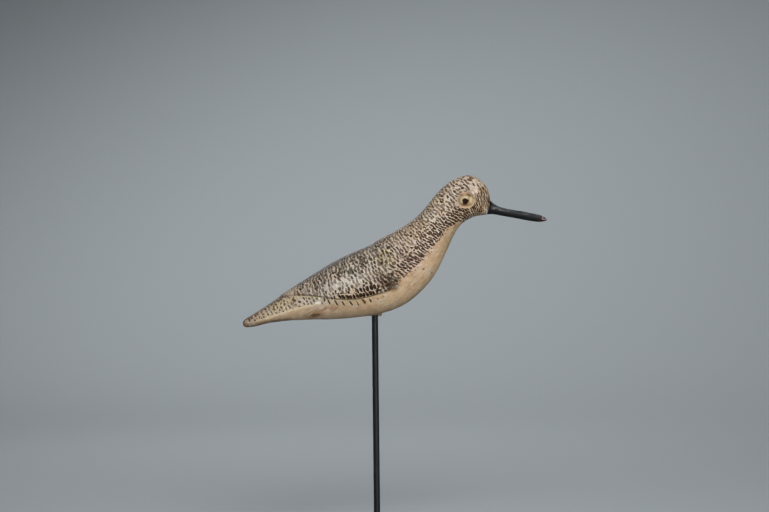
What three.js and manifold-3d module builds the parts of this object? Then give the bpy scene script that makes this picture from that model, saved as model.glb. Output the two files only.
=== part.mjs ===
// A carved and painted wooden shorebird decoy on its display rod and foot, in millimetres.
// +Z is up, the bird faces +X, and the origin is the middle of the foot's underside.
// The body and head are one block of wood with the wings and eyes carved in relief.
// The bill is a piece of its own, let into the face. The rod stands in the foot and in the belly.
import * as THREE from "three";
import { mergeVertices } from "three/addons/utils/BufferGeometryUtils.js";
import Module from "manifold-3d";

const wasm = await Module();
wasm.setup();

// The carved bird.
const birdLength = 249; // tail tip to forehead, without the bill
const bodyWidth = 60; // across the breast
const wingRelief = 2.2; // how far the carved wing stands proud at its shoulder
const eyeSocketRadius = 7.2; // the round groove cut about each eye
const eyeBallRadius = 6;
const eyeDepth = 2; // how deep the groove goes below the side of the head

// The bill.
const billLength = 59.5; // what shows, from the face to the tip
const billDepth = 8; // top to bottom along its straight part
const billWidth = 7.4;
const billDroop = THREE.MathUtils.degToRad(11);
const billRoot = 7; // how far it goes into the face

// The rod and its foot.
const rodDiameter = 6.35;
const rodShow = 220; // between the foot and the belly
const rodInBird = 28;
const footDiameter = 120;
const footThickness = 9;
const footFloor = 3; // left under the rod
const footChamfer = 1;

const fitGap = 0.3; // clearance round a piece let into another

// How finely the round forms are cut into flat facets.
const ribSteps = 3; // rings between two ribs of the bird
const aroundSteps = 40; // vertices round a ring of the bird
const wingEdgeSteps = 4; // straight runs between two places of the wing's edge
const eyeSides = 28;
const billRibSteps = 2;
const billAroundSteps = 18;
const rodSides = 32;
const footSides = 64;

const boxiness = 2.2; // 2 makes each rib an ellipse, more makes it squarer

// The bird's ribs, from tail to face. Each crosses the bird from a point on its back to one on its belly:
// [how far forward of the tail tip, how far above the belly] in hundredths of birdLength.
// half is the half width there, as a share of half of bodyWidth.
const birdEnds = { tail: [0, -2.1], face: [100, 45] };
const birdRibs = [
  { back: [0.9, -0.6], belly: [0.9, -3.6], half: 0.18 },
  { back: [3.8, 1.2], belly: [4.2, -3.6], half: 0.3 },
  { back: [9.4, 4.7], belly: [10.6, -2.2], half: 0.43 },
  { back: [15.2, 8.5], belly: [17.8, -1.4], half: 0.58 },
  { back: [22.4, 13.4], belly: [26.7, -1], half: 0.74 },
  { back: [31.1, 19.1], belly: [36.3, -0.9], half: 0.87 },
  { back: [40.3, 24.2], belly: [46.3, -0.2], half: 0.96 },
  { back: [50, 28.4], belly: [56, 1.2], half: 1 },
  { back: [58.8, 32.8], belly: [64.4, 4.3], half: 0.98 },
  { back: [65.6, 36.6], belly: [71.6, 9.7], half: 0.91 },
  { back: [70.8, 40.3], belly: [77.7, 16.9], half: 0.8 },
  { back: [74.5, 44.3], belly: [81.7, 24.7], half: 0.67 },
  { back: [77.7, 48.3], belly: [84.9, 31.6], half: 0.57 },
  { back: [81.5, 52], belly: [87.7, 36.1], half: 0.53 },
  { back: [85.9, 54.9], belly: [90.9, 38.5], half: 0.53 },
  { back: [90.9, 56.3], belly: [94.1, 39.8], half: 0.53 },
  { back: [95.3, 55], belly: [96.9, 40.3], half: 0.47 },
  { back: [98.7, 51.2], belly: [98.8, 40.7], half: 0.32 },
];
const birdWaist = 0.46; // the widest place of a rib, as a share of its height from the belly

// The wing's edge seen from the side, from its tip forward along the flank, round the shoulder and up
// to the back, in the same hundredths. The last two points lie above the bird and close the outline.
const wingTip = [15.3, 8.1];
const wingEdge = [
  [21.9, 9.1],
  [27.2, 8.9],
  [32, 8.4],
  [38, 7.5],
  [44.1, 7.2],
  [49.5, 8],
  [54.5, 9.3],
  [59.2, 10.9],
  [61.7, 13],
  [62.6, 15.6],
  [61.6, 18],
  [59.4, 20.3],
  [56.6, 22],
  [54.8, 24.3],
  [53.5, 28],
];
const wingAbove = [
  [52, 36],
  [13, 36],
];

// The wing's relief. Places run from 0 at the tail to 1 at the face, angles from 0 at the back to 1 at the belly.
const wingTipRelief = 0.5; // at the wing's tip, as a share of wingRelief
const wingGrows = [0.2, 0.55]; // the places between which it grows to its full height
const wingSinks = 0.25; // how far it goes under the ridge of the back, as a share of wingRelief
const wingSinksFrom = [0.18, 0.32]; // the places between which it starts to do so
const wingFades = [0.1, 0.34]; // the angles between which it rises from the ridge

// Where the rod enters the belly, where the eye is and where the bill leaves the face, in the same hundredths.
const rodPlace = 53.17;
const eyePlace = [89.7, 46];
const billPlace = [99.2, 42.6];

// The bill's ribs, from the face to the tip: along it as a share of billLength, above and below its
// middle line as shares of billDepth, and half as a share of billWidth.
const billRibs = [
  { along: 0, over: 1.14, under: 0.65, half: 0.8 },
  { along: 0.03, over: 0.98, under: 0.6, half: 0.74 },
  { along: 0.08, over: 0.78, under: 0.53, half: 0.64 },
  { along: 0.18, over: 0.55, under: 0.5, half: 0.54 },
  { along: 0.34, over: 0.46, under: 0.5, half: 0.5 },
  { along: 0.58, over: 0.51, under: 0.5, half: 0.49 },
  { along: 0.78, over: 0.47, under: 0.49, half: 0.47 },
  { along: 0.88, over: 0.44, under: 0.41, half: 0.41 },
  { along: 0.96, over: 0.27, under: 0.22, half: 0.26 },
];

// The root inside the face: how far in as a share of billRoot, and its section as a share of the bill's at the face.
const billRootRibs = [
  { into: 0.9, share: 0.62 },
  { into: 0.5, share: 0.74 },
];

const hundredth = birdLength / 100;
const rodRadius = rodDiameter / 2;
const bellyHeight = footThickness + rodShow;

// A place on the bird in millimetres, measured from where the rod enters the belly.
function onBird([forward, up]) {
  return [(forward - rodPlace) * hundredth, up * hundredth];
}

// A closed curve through the backs of the ribs, the front end, their bellies and the rear end. Its y is
// the half width, positive along the backs and negative along the bellies, so it passes through 0 at both ends.
function outlineOf(rear, ribs, front) {
  const point = ([x, z], half) => new THREE.Vector3(x, half, z);
  return new THREE.CatmullRomCurve3(
    [
      point(rear, 0),
      ...ribs.map((rib) => point(rib.back, rib.half)),
      point(front, 0),
      ...ribs.map((rib) => point(rib.belly, -rib.half)).reverse(),
    ],
    true,
    "centripetal",
  );
}

// A closed skin over the ribs: a sphere whose rings are moved onto the ribs, from the front end to the rear.
// swell(place, angle) lifts the skin off the ribs, where place is 0 at the rear end and 1 at the front,
// and angle is 0 at the back and PI at the belly.
function skin({ rear, ribs, front, waist, stepsPerRib, around, swell = () => 0 }) {
  const outline = outlineOf(rear, ribs, front);
  const rings = (ribs.length + 1) * stepsPerRib;
  const geometry = new THREE.SphereGeometry(1, around, rings);
  const position = geometry.getAttribute("position");
  for (let ring = 0; ring <= rings; ring++) {
    const place = 1 - ring / rings;
    const back = outline.getPoint(place / 2);
    const belly = outline.getPoint((1 - place / 2) % 1);
    const half = (back.y - belly.y) / 2;
    const atEnd = ring === 0 || ring === rings;
    for (let step = 0; step <= around; step++) {
      const angle = (step / around) * 2 * Math.PI;
      const lift = atEnd ? 0 : swell(place, Math.min(angle, 2 * Math.PI - angle));
      const point = atEnd ? back.clone().setY(0) : onRib(back, belly, half, waist, angle, lift);
      position.setXYZ(ring * (around + 1) + step, ...point);
    }
  }
  return geometry;
}

// The point of one rib at an angle from its back, lifted off it square to its curve.
function onRib(back, belly, half, waist, angle, lift) {
  const height = Math.hypot(back.x - belly.x, back.z - belly.z);
  const rise = squared(Math.cos(angle));
  const side = squared(Math.sin(angle));
  const share = rise > 0 ? waist + (1 - waist) * rise : waist + waist * rise;
  const normal = new THREE.Vector2(rise / (height / 2), side / half).normalize();
  const up = share + (normal.x * lift) / height;
  return new THREE.Vector3(
    THREE.MathUtils.lerp(belly.x, back.x, up),
    -(half * side + normal.y * lift),
    THREE.MathUtils.lerp(belly.z, back.z, up),
  );
}

// A sine or cosine bent from an ellipse towards a square.
function squared(value) {
  return Math.sign(value) * Math.abs(value) ** (2 / boxiness);
}

// A closed three.js geometry as a solid that can be cut and joined.
function solid(geometry) {
  const bare = geometry.index ? geometry.toNonIndexed() : geometry.clone();
  bare.deleteAttribute("normal");
  bare.deleteAttribute("uv");
  const merged = mergeVertices(bare, 1e-4);
  return new wasm.Manifold(
    new wasm.Mesh({
      numProp: 3,
      vertProperties: merged.getAttribute("position").array,
      triVerts: new Uint32Array(merged.index.array),
    }),
  );
}

// A solid back as a three.js geometry.
function geometryOf(made) {
  const mesh = made.getMesh();
  return new THREE.BufferGeometry()
    .setAttribute("position", new THREE.BufferAttribute(new Float32Array(mesh.vertProperties), 3))
    .setIndex(new THREE.BufferAttribute(new Uint32Array(mesh.triVerts), 1));
}

// An upright cylinder between two heights.
function upright(radius, bottom, top, sides) {
  return new THREE.CylinderGeometry(radius, radius, top - bottom, sides)
    .rotateX(Math.PI / 2)
    .translate(0, 0, (bottom + top) / 2);
}

// The plain carved block, before its wings are raised. swell lifts its skin.
function birdBlock(swell) {
  return skin({
    rear: onBird(birdEnds.tail),
    ribs: birdRibs.map((rib) => ({
      back: onBird(rib.back),
      belly: onBird(rib.belly),
      half: (rib.half * bodyWidth) / 2,
    })),
    front: onBird(birdEnds.face),
    waist: birdWaist,
    stepsPerRib: ribSteps,
    around: aroundSteps,
    swell,
  });
}

// How far the wing stands off the block. It fades out towards the ridge of the back, except at the wing's tip.
function wingSwell(place, angle) {
  const { smoothstep, lerp } = THREE.MathUtils;
  const height = wingRelief * lerp(wingTipRelief, 1, smoothstep(place, ...wingGrows));
  const atRidge = lerp(height, -wingSinks * wingRelief, smoothstep(place, ...wingSinksFrom));
  return lerp(atRidge, height, smoothstep(angle / Math.PI, ...wingFades));
}

// Both wings in relief: the swollen block, cut to the wing's outline right through from side to side.
function wings() {
  const shape = new THREE.Shape();
  shape.moveTo(...onBird(wingTip));
  shape.splineThru(wingEdge.map((place) => new THREE.Vector2(...onBird(place))));
  wingAbove.forEach((place) => shape.lineTo(...onBird(place)));
  shape.closePath();
  const prism = new THREE.ExtrudeGeometry(shape, {
    depth: 2 * bodyWidth,
    bevelEnabled: false,
    curveSegments: wingEdgeSteps,
  })
    .translate(0, 0, -bodyWidth)
    .rotateX(Math.PI / 2);
  return solid(birdBlock(wingSwell)).intersect(solid(prism));
}

// One eye: a round socket cut square to the side of the head, and the low dome left standing in it.
function carveEye(head, block, side) {
  const [x, z] = onBird(eyePlace);
  const ray = new THREE.Raycaster(
    new THREE.Vector3(x, side * bodyWidth, z),
    new THREE.Vector3(0, -side, 0),
  );
  const mesh = new THREE.Mesh(block, new THREE.MeshBasicMaterial());
  const [hit] = ray.intersectObject(mesh);
  const turn = new THREE.Quaternion().setFromUnitVectors(new THREE.Vector3(0, 0, 1), hit.face.normal);
  const socket = upright(eyeSocketRadius, -eyeDepth, bodyWidth, eyeSides);
  const dome = new THREE.SphereGeometry(eyeBallRadius, eyeSides, eyeSides / 2)
    .scale(1, 1, eyeDepth / eyeBallRadius)
    .translate(0, 0, -eyeDepth);
  [socket, dome].forEach((tool) => tool.applyQuaternion(turn).translate(...hit.point));
  return head.subtract(solid(socket)).add(solid(dome));
}

// The bill lies along its own x, and is turned down and moved to the face. grow swells it, for its socket.
function bill(grow) {
  const rib = (along, { over, under, half }, share) => ({
    back: [along, share * over * billDepth + grow],
    belly: [along, -share * under * billDepth - grow],
    half: share * half * billWidth + grow,
  });
  const [x, z] = onBird(billPlace);
  return skin({
    rear: [-billRoot - grow, 0],
    ribs: [
      ...billRootRibs.map(({ into, share }) => rib(-into * billRoot - grow, billRibs[0], share)),
      ...billRibs.map((section) => rib(section.along * billLength, section, 1)),
    ],
    front: [billLength + grow, 0],
    waist: 0.5,
    stepsPerRib: billRibSteps,
    around: billAroundSteps,
  })
    .rotateY(billDroop)
    .translate(x, 0, z);
}

// The bird with its wings raised, its eyes cut, and the holes for the bill and the rod.
function bird() {
  const block = birdBlock();
  let carved = solid(block).add(wings());
  carved = carveEye(carved, block, 1);
  carved = carveEye(carved, block, -1);
  const rodHole = upright(rodRadius + fitGap, -birdLength, rodInBird + fitGap, rodSides);
  return geometryOf(carved.subtract(solid(bill(fitGap))).subtract(solid(rodHole)));
}

// The foot: a turned disc with both edges chamfered and a blind hole for the rod.
function foot() {
  const radius = footDiameter / 2;
  const hole = rodRadius + fitGap;
  const profile = [
    [0, 0],
    [radius - footChamfer, 0],
    [radius, footChamfer],
    [radius, footThickness - footChamfer],
    [radius - footChamfer, footThickness],
    [hole, footThickness],
    [hole, footFloor],
    [0, footFloor],
  ];
  return new THREE.LatheGeometry(
    profile.map(([across, up]) => new THREE.Vector2(across, up)),
    footSides,
  ).rotateX(Math.PI / 2);
}

function piece(name, geometry, color, roughness, metalness) {
  const mesh = new THREE.Mesh(geometry, new THREE.MeshStandardMaterial({ color, roughness, metalness }));
  mesh.name = name;
  return mesh;
}

// The rod, from its seat in the foot to the end of its hole in the bird.
function rod() {
  return upright(rodRadius, footFloor + fitGap, bellyHeight + rodInBird, rodSides);
}

const decoy = new THREE.Group();
decoy.add(piece("foot", foot(), 0x1c1c1e, 0.5, 0.3));
decoy.add(piece("rod", rod(), 0x1c1c1e, 0.4, 0.5));

const birdOnRod = new THREE.Group();
birdOnRod.position.z = bellyHeight;
birdOnRod.add(piece("bird", bird(), 0xc9b594, 0.6, 0));
birdOnRod.add(piece("bill", bill(0), 0x2a2a2c, 0.45, 0));
decoy.add(birdOnRod);

export default decoy;
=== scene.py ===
"""A carved and painted shorebird decoy on its rod and foot, with the finish of every surface.

The bird is one block of wood. Its surface is worked out from its ribs, and the wings, the eyes, the
knife's flats and the torn rim of the stick hole are carved into that surface. The bill is let into
the face, and the rod stands in the foot and in the belly. Lengths are in metres unless a name or a
docstring says millimetres. The bird faces +X, and the side that the camera sees is the one at -Y.
"""

import logging
import math
from collections.abc import Callable, Sequence
from dataclasses import dataclass, field, replace
from enum import Enum
from typing import Any, Union

import bmesh
import bpy
import numpy as np
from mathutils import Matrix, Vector, noise


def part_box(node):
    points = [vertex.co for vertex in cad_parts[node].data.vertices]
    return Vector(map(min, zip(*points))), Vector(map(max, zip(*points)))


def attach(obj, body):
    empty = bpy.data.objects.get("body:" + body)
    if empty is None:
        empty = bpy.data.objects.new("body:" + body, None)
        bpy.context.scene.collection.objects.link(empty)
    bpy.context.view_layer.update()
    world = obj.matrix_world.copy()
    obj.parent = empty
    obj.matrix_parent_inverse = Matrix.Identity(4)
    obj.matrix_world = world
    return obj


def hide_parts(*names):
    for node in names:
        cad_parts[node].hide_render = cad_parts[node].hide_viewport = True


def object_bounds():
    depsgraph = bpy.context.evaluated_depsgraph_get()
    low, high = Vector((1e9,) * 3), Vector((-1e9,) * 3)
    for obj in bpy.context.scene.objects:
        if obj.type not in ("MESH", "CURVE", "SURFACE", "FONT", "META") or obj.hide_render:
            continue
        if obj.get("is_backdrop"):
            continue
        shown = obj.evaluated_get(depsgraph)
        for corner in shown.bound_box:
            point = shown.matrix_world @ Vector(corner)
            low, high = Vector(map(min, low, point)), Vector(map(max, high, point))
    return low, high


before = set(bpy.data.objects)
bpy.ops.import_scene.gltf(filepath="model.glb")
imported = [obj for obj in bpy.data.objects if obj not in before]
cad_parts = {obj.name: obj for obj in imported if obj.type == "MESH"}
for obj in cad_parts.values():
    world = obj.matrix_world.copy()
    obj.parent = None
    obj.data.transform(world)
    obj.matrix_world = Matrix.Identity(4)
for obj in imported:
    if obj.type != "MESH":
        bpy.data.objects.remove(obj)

LOG = logging.getLogger("decoy")
MM = 0.001
BODY = "root"
TURN = 2 * math.pi
ALMOST_ONE = 1 - 1e-9
SPOT_LAYERS = ("place", "cosine", "sine")

Array = np.ndarray
Place = tuple[float, float]
Span = tuple[float, ...]
Number = Union["Value", float]
Colour = tuple[float, float, float, float]


def srgb(red: int, green: int, blue: int) -> Colour:
    """A colour as a shader takes it, from its screen values."""
    linear = [((value / 255 + 0.055) / 1.055) ** 2.4 for value in (red, green, blue)]
    return (linear[0], linear[1], linear[2], 1.0)


def hump(value: Array, place: float, width: float) -> Array:
    """A round hump that is 1 at a place and falls away on both sides of it."""
    return np.exp(-(((value - place) / width) ** 2))


def smooth(value: Array, low: float, high: float) -> Array:
    """A smooth rise from 0 at low to 1 at high, or a fall where low is above high."""
    share = np.clip((value - low) / (high - low), 0, 1)
    return share * share * (3 - 2 * share)


def within(value: Array, span: Span) -> Array:
    """How well numbers lie in a span, from 0 to 1."""
    shares = [smooth(value, nil, full) for nil, full in zip(span[::3], span[1:3])]
    return np.prod(shares, axis=0)


class Value:
    """An output of a node tree. Python's operators on it add Math nodes."""

    def __init__(self, graph: "Graph", socket: bpy.types.NodeSocket) -> None:
        """Keeps the output and its graph."""
        self.graph = graph
        self.socket = socket

    def math(self, operation: str, *others: Number) -> "Value":
        """A Math node whose first operand is this value."""
        return self.graph.add("ShaderNodeMath", {"operation": operation}, [self, *others])

    def _after(self, operation: str, first: float) -> "Value":
        """A Math node whose second operand is this value."""
        return self.graph.add("ShaderNodeMath", {"operation": operation}, [first, self])

    def __add__(self, other: Number) -> "Value":
        """This value and another added up."""
        return self.math("ADD", other)

    __radd__ = __add__

    def __mul__(self, other: Number) -> "Value":
        """This value times another."""
        return self.math("MULTIPLY", other)

    __rmul__ = __mul__

    def __sub__(self, other: Number) -> "Value":
        """This value less another."""
        return self.math("SUBTRACT", other)

    def __rsub__(self, other: float) -> "Value":
        """A number less this value."""
        return self._after("SUBTRACT", other)

    def __truediv__(self, other: Number) -> "Value":
        """This value over another."""
        return self.math("DIVIDE", other)

    def __neg__(self) -> "Value":
        """This value with its sign turned."""
        return self.math("MULTIPLY", -1.0)

    def __abs__(self) -> "Value":
        """This value without its sign."""
        return self.math("ABSOLUTE")

    def floor(self) -> "Value":
        """The whole number at or under this value."""
        return self.math("FLOOR")

    def least(self, other: Number) -> "Value":
        """The lesser of this value and another."""
        return self.math("MINIMUM", other)

    def most(self, other: Number) -> "Value":
        """The greater of this value and another."""
        return self.math("MAXIMUM", other)

    def rise(self, low: Number, high: Number) -> "Value":
        """A smooth rise from 0 where this value is low to 1 where it is high, or a fall."""
        settings = {"interpolation_type": "SMOOTHSTEP"}
        return self.graph.add("ShaderNodeMapRange", settings, [self, low, high, 0.0, 1.0])

    def centred(self) -> "Value":
        """This value less a half, the middle of a random number from 0 to 1."""
        return self - 0.5

    def between(self, low: float, high: float) -> "Value":
        """A straight line from low where this value is 0 to high where it is 1."""
        return self * (high - low) + low

    def split(self) -> list["Value"]:
        """The three parts of this colour or vector, as values."""
        first = self.graph.add("ShaderNodeSeparateXYZ", None, [self])
        return [Value(self.graph, socket) for socket in first.socket.node.outputs]

    def other(self, output: str) -> "Value":
        """Another output of the same node."""
        return Value(self.graph, self.socket.node.outputs[output])


class Graph:
    """A shader's or a modifier's node tree, filled from expressions."""

    def __init__(self, tree: bpy.types.NodeTree) -> None:
        """Empties the tree."""
        self.tree = tree
        tree.nodes.clear()

    def add(
        self,
        kind: str,
        settings: dict[str, Any] | None = None,
        inputs: dict[str | int, Any] | Sequence[Any] | None = None,
        output: str | int = 0,
    ) -> Value:
        """Adds a node, sets it and fills its inputs.

        Args:
            kind: The node's type name.
            settings: The node's own settings, such as its operation. They are set first.
            inputs: What goes into its sockets, by name, by number or in order: values or plain numbers.
            output: Which output to return.

        Returns:
            That output.
        """
        node = self.tree.nodes.new(kind)
        for name, setting in (settings or {}).items():
            setattr(node, name, setting)
        pairs = inputs.items() if isinstance(inputs, dict) else enumerate(inputs or ())
        for name, given in pairs:
            if isinstance(given, Value):
                self.tree.links.new(given.socket, node.inputs[name])
            else:
                node.inputs[name].default_value = given
        found = node.outputs[output] if len(node.outputs) else None
        return Value(self, found)

    def attribute(self, mark: "Mark") -> Value:
        """A colour that the mesh carries."""
        return self.add("ShaderNodeAttribute", {"attribute_name": mark.value}, output="Color")

    def carried(self, mark: "Mark") -> Value:
        """A number that the mesh carries."""
        return self.attribute(mark).other("Fac")

    def vector(self, x: Number, y: Number, z: Number = 0.0) -> Value:
        """A vector of three values."""
        return self.add("ShaderNodeCombineXYZ", None, [x, y, z])

    def here(self) -> Value:
        """The place on the piece in millimetres, in the row frame."""
        place = self.add("ShaderNodeTexCoord", output="Object")
        return self.add("ShaderNodeVectorMath", {"operation": "SCALE"}, {0: place, "Scale": 1 / MM})

    def clouds(self, place: Value, size: float, detail: float = 2.0, seed: float = 0.0) -> Value:
        """Soft random clouds from 0 to 1, with a colour output that holds three of them."""
        inputs = {"Vector": place, "W": seed, "Scale": 1 / size, "Detail": detail}
        return self.add("ShaderNodeTexNoise", {"noise_dimensions": "4D"}, inputs)

    def dice(self, column: Value, row: Value, seed: Number) -> Value:
        """A random number for each cell of a grid, with a colour output that holds three more."""
        cell = self.vector(column, row)
        return self.add("ShaderNodeTexWhiteNoise", {"noise_dimensions": "4D"}, [cell, seed])

    def mix(self, share: Number, under: Any, over: Any) -> Value:
        """One colour over another."""
        settings = {"data_type": "RGBA", "blend_type": "MIX"}
        return self.add("ShaderNodeMix", settings, {0: share, 6: under, 7: over}, output=2)

    def bump(self, height: Value, depth: float) -> Value:
        """A surface normal bent by a height."""
        inputs = {"Strength": 1.0, "Distance": depth * MM, "Height": height}
        return self.add("ShaderNodeBump", None, inputs)

    def shader(self, fixed: dict[str, Any], varied: dict[str, Value]) -> None:
        """Closes a shader tree with one Principled shader."""
        surface = self.add("ShaderNodeBsdfPrincipled", None, {**fixed, **varied})
        self.add("ShaderNodeOutputMaterial", None, {"Surface": surface})


@dataclass(frozen=True)
class Finish:
    """A surface finish. Each kind fills its own shader."""

    name: str

    def fill(self, graph: Graph) -> None:
        """Fills the finish's shader tree."""
        raise NotImplementedError

    def material(self) -> bpy.types.Material:
        """The finish as a Blender material, made once for each name.

        Returns:
            The material.
        """
        found = bpy.data.materials.get(self.name)
        if found is None:
            found = bpy.data.materials.new(self.name)
            found.use_nodes = True
            self.fill(Graph(found.node_tree))
        return found


class Mark(Enum):
    """What a mesh carries at each vertex for its paint. Lengths are in millimetres."""

    ALONG = "along"
    SLANT = "slant"
    GIRTH = "girth"
    WING = "above_wing_edge"
    FINE = "fine_strokes"
    DENSE = "dense_strokes"
    NECK = "neck_strokes"
    TAIL = "tail_strokes"
    FACE = "face_strokes"
    BOLD = "bold_strokes"
    TICKS = "flank_ticks"
    DOTS = "dots"
    STAIN = "stain"
    # painted shade in the cuts: how much the wing's edge groove and the eye's groove are darkened
    GROOVE_SHADE = "groove_shade"
    PAINTED = "painted"
    PUPIL = "pupil"
    GROUND = "ground_colour"
    INK = "ink_colour"
    # where the bill's ridge is greyed: worn paint and a painted highlight along its top
    BILL_RIDGE_WEAR_AND_HIGHLIGHT = "ridge"
    BILL_WEAR = "wear"
    BILL_CHIPS = "chips"
    BILL_UNDER = "under_chips"


class Rows(Enum):
    """What the rows of strokes follow."""

    GIRTH = "how far down the side from the ridge of the back"
    WING = "how far above or below the wing's lower edge"


@dataclass(frozen=True)
class StrokeField:
    """Where a point is for the brushes: along the bird, along it with the strokes' slant, and across."""

    along: Value
    slant: Value
    girth: Value
    above: Value
    fray: Value
    side: Value


@dataclass(frozen=True)
class Brushwork:
    """Short strokes of one brush in rows, in millimetres. A row's strokes stand side by side.

    stray is how far a stroke leaves its place as a share of the spacing, swing how far it turns to
    either side of its lean, and fade how much paler the palest stroke is. lengths and widths are the
    shares of length and width between which strokes vary.
    """

    mark: Mark
    pitch: float
    row: float
    width: float
    length: float
    lean: float = 0.0
    rows: Rows = Rows.GIRTH
    stray: float = 0.35
    swing: float = 0.35
    fade: float = 0.4
    softness: float = 0.12
    lengths: Span = (0.75, 1.25)
    widths: Span = (0.7, 1.3)
    middle_width: float = 1.15
    tapering: float = 0.5
    thinning_out: Span = (-0.02, 0.06)
    reshuffle: float = 7.0

    def mask(self, graph: Graph, field: StrokeField, seed: float) -> Value:
        """Where these strokes lie.

        Args:
            graph: The shader tree.
            field: Where the point is for the brushes.
            seed: Tells one brush's random numbers from another's.

        Returns:
            0 off the strokes and up to 1 on them.
        """
        by_wing = self.rows is Rows.WING
        along, across = (field.along, -field.above) if by_wing else (field.slant, field.girth)
        level = across / self.row
        row = level.floor()
        start = graph.dice(row, row, seed)
        spot = along / self.pitch + start
        column = spot.floor()
        chance = graph.dice(column, row, field.side + seed)
        first, second, third = chance.other("Color").split()
        down = ((level - row).centred() + first.centred() * self.stray) * self.row
        turn = (first * self.reshuffle).math("FRACT").centred() * self.swing + self.lean
        forward = ((spot - column).centred() + second.centred() * self.stray) * self.pitch - down * turn
        half_length = third.between(*self.lengths) * (self.length / 2)
        taper = self.middle_width - (down / half_length).math("POWER", 2.0) * self.tapering
        half_width = taper * chance.between(*self.widths) * (self.width / 2)
        inside = (half_width - abs(forward)).least(half_length - abs(down)) + field.fray
        shown = (graph.carried(self.mark) - chance).rise(*self.thinning_out)
        return inside.rise(-self.softness, self.softness) * shown * (1.0 - third * self.fade)


@dataclass(frozen=True)
class Dab:
    """One single touch of the brush, seen square to the bird's side, in millimetres as a Patch is."""

    forward: float
    up: float
    half_length: float
    half_width: float
    turn: float
    strength: float
    tint: Colour
    edge: Span = (1.3, 0.7)

    def mask(self, forward: Value, up: Value, fray: Value) -> Value:
        """Where the dab lies.

        Args:
            forward: Millimetres forward of the rod.
            up: Millimetres above the belly.
            fray: How far the dab's edge is moved out.

        Returns:
            0 off the dab and up to its strength on it.
        """
        cosine, sine = math.cos(math.radians(self.turn)), math.sin(math.radians(self.turn))
        ahead, above = forward - self.forward, up - self.up
        along = abs(ahead * cosine + above * sine) / self.half_length
        across = abs(above * cosine - ahead * sine) / self.half_width
        reach = (along * along + across * across).math("SQRT") - fray
        return reach.rise(*self.edge) * self.strength


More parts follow.
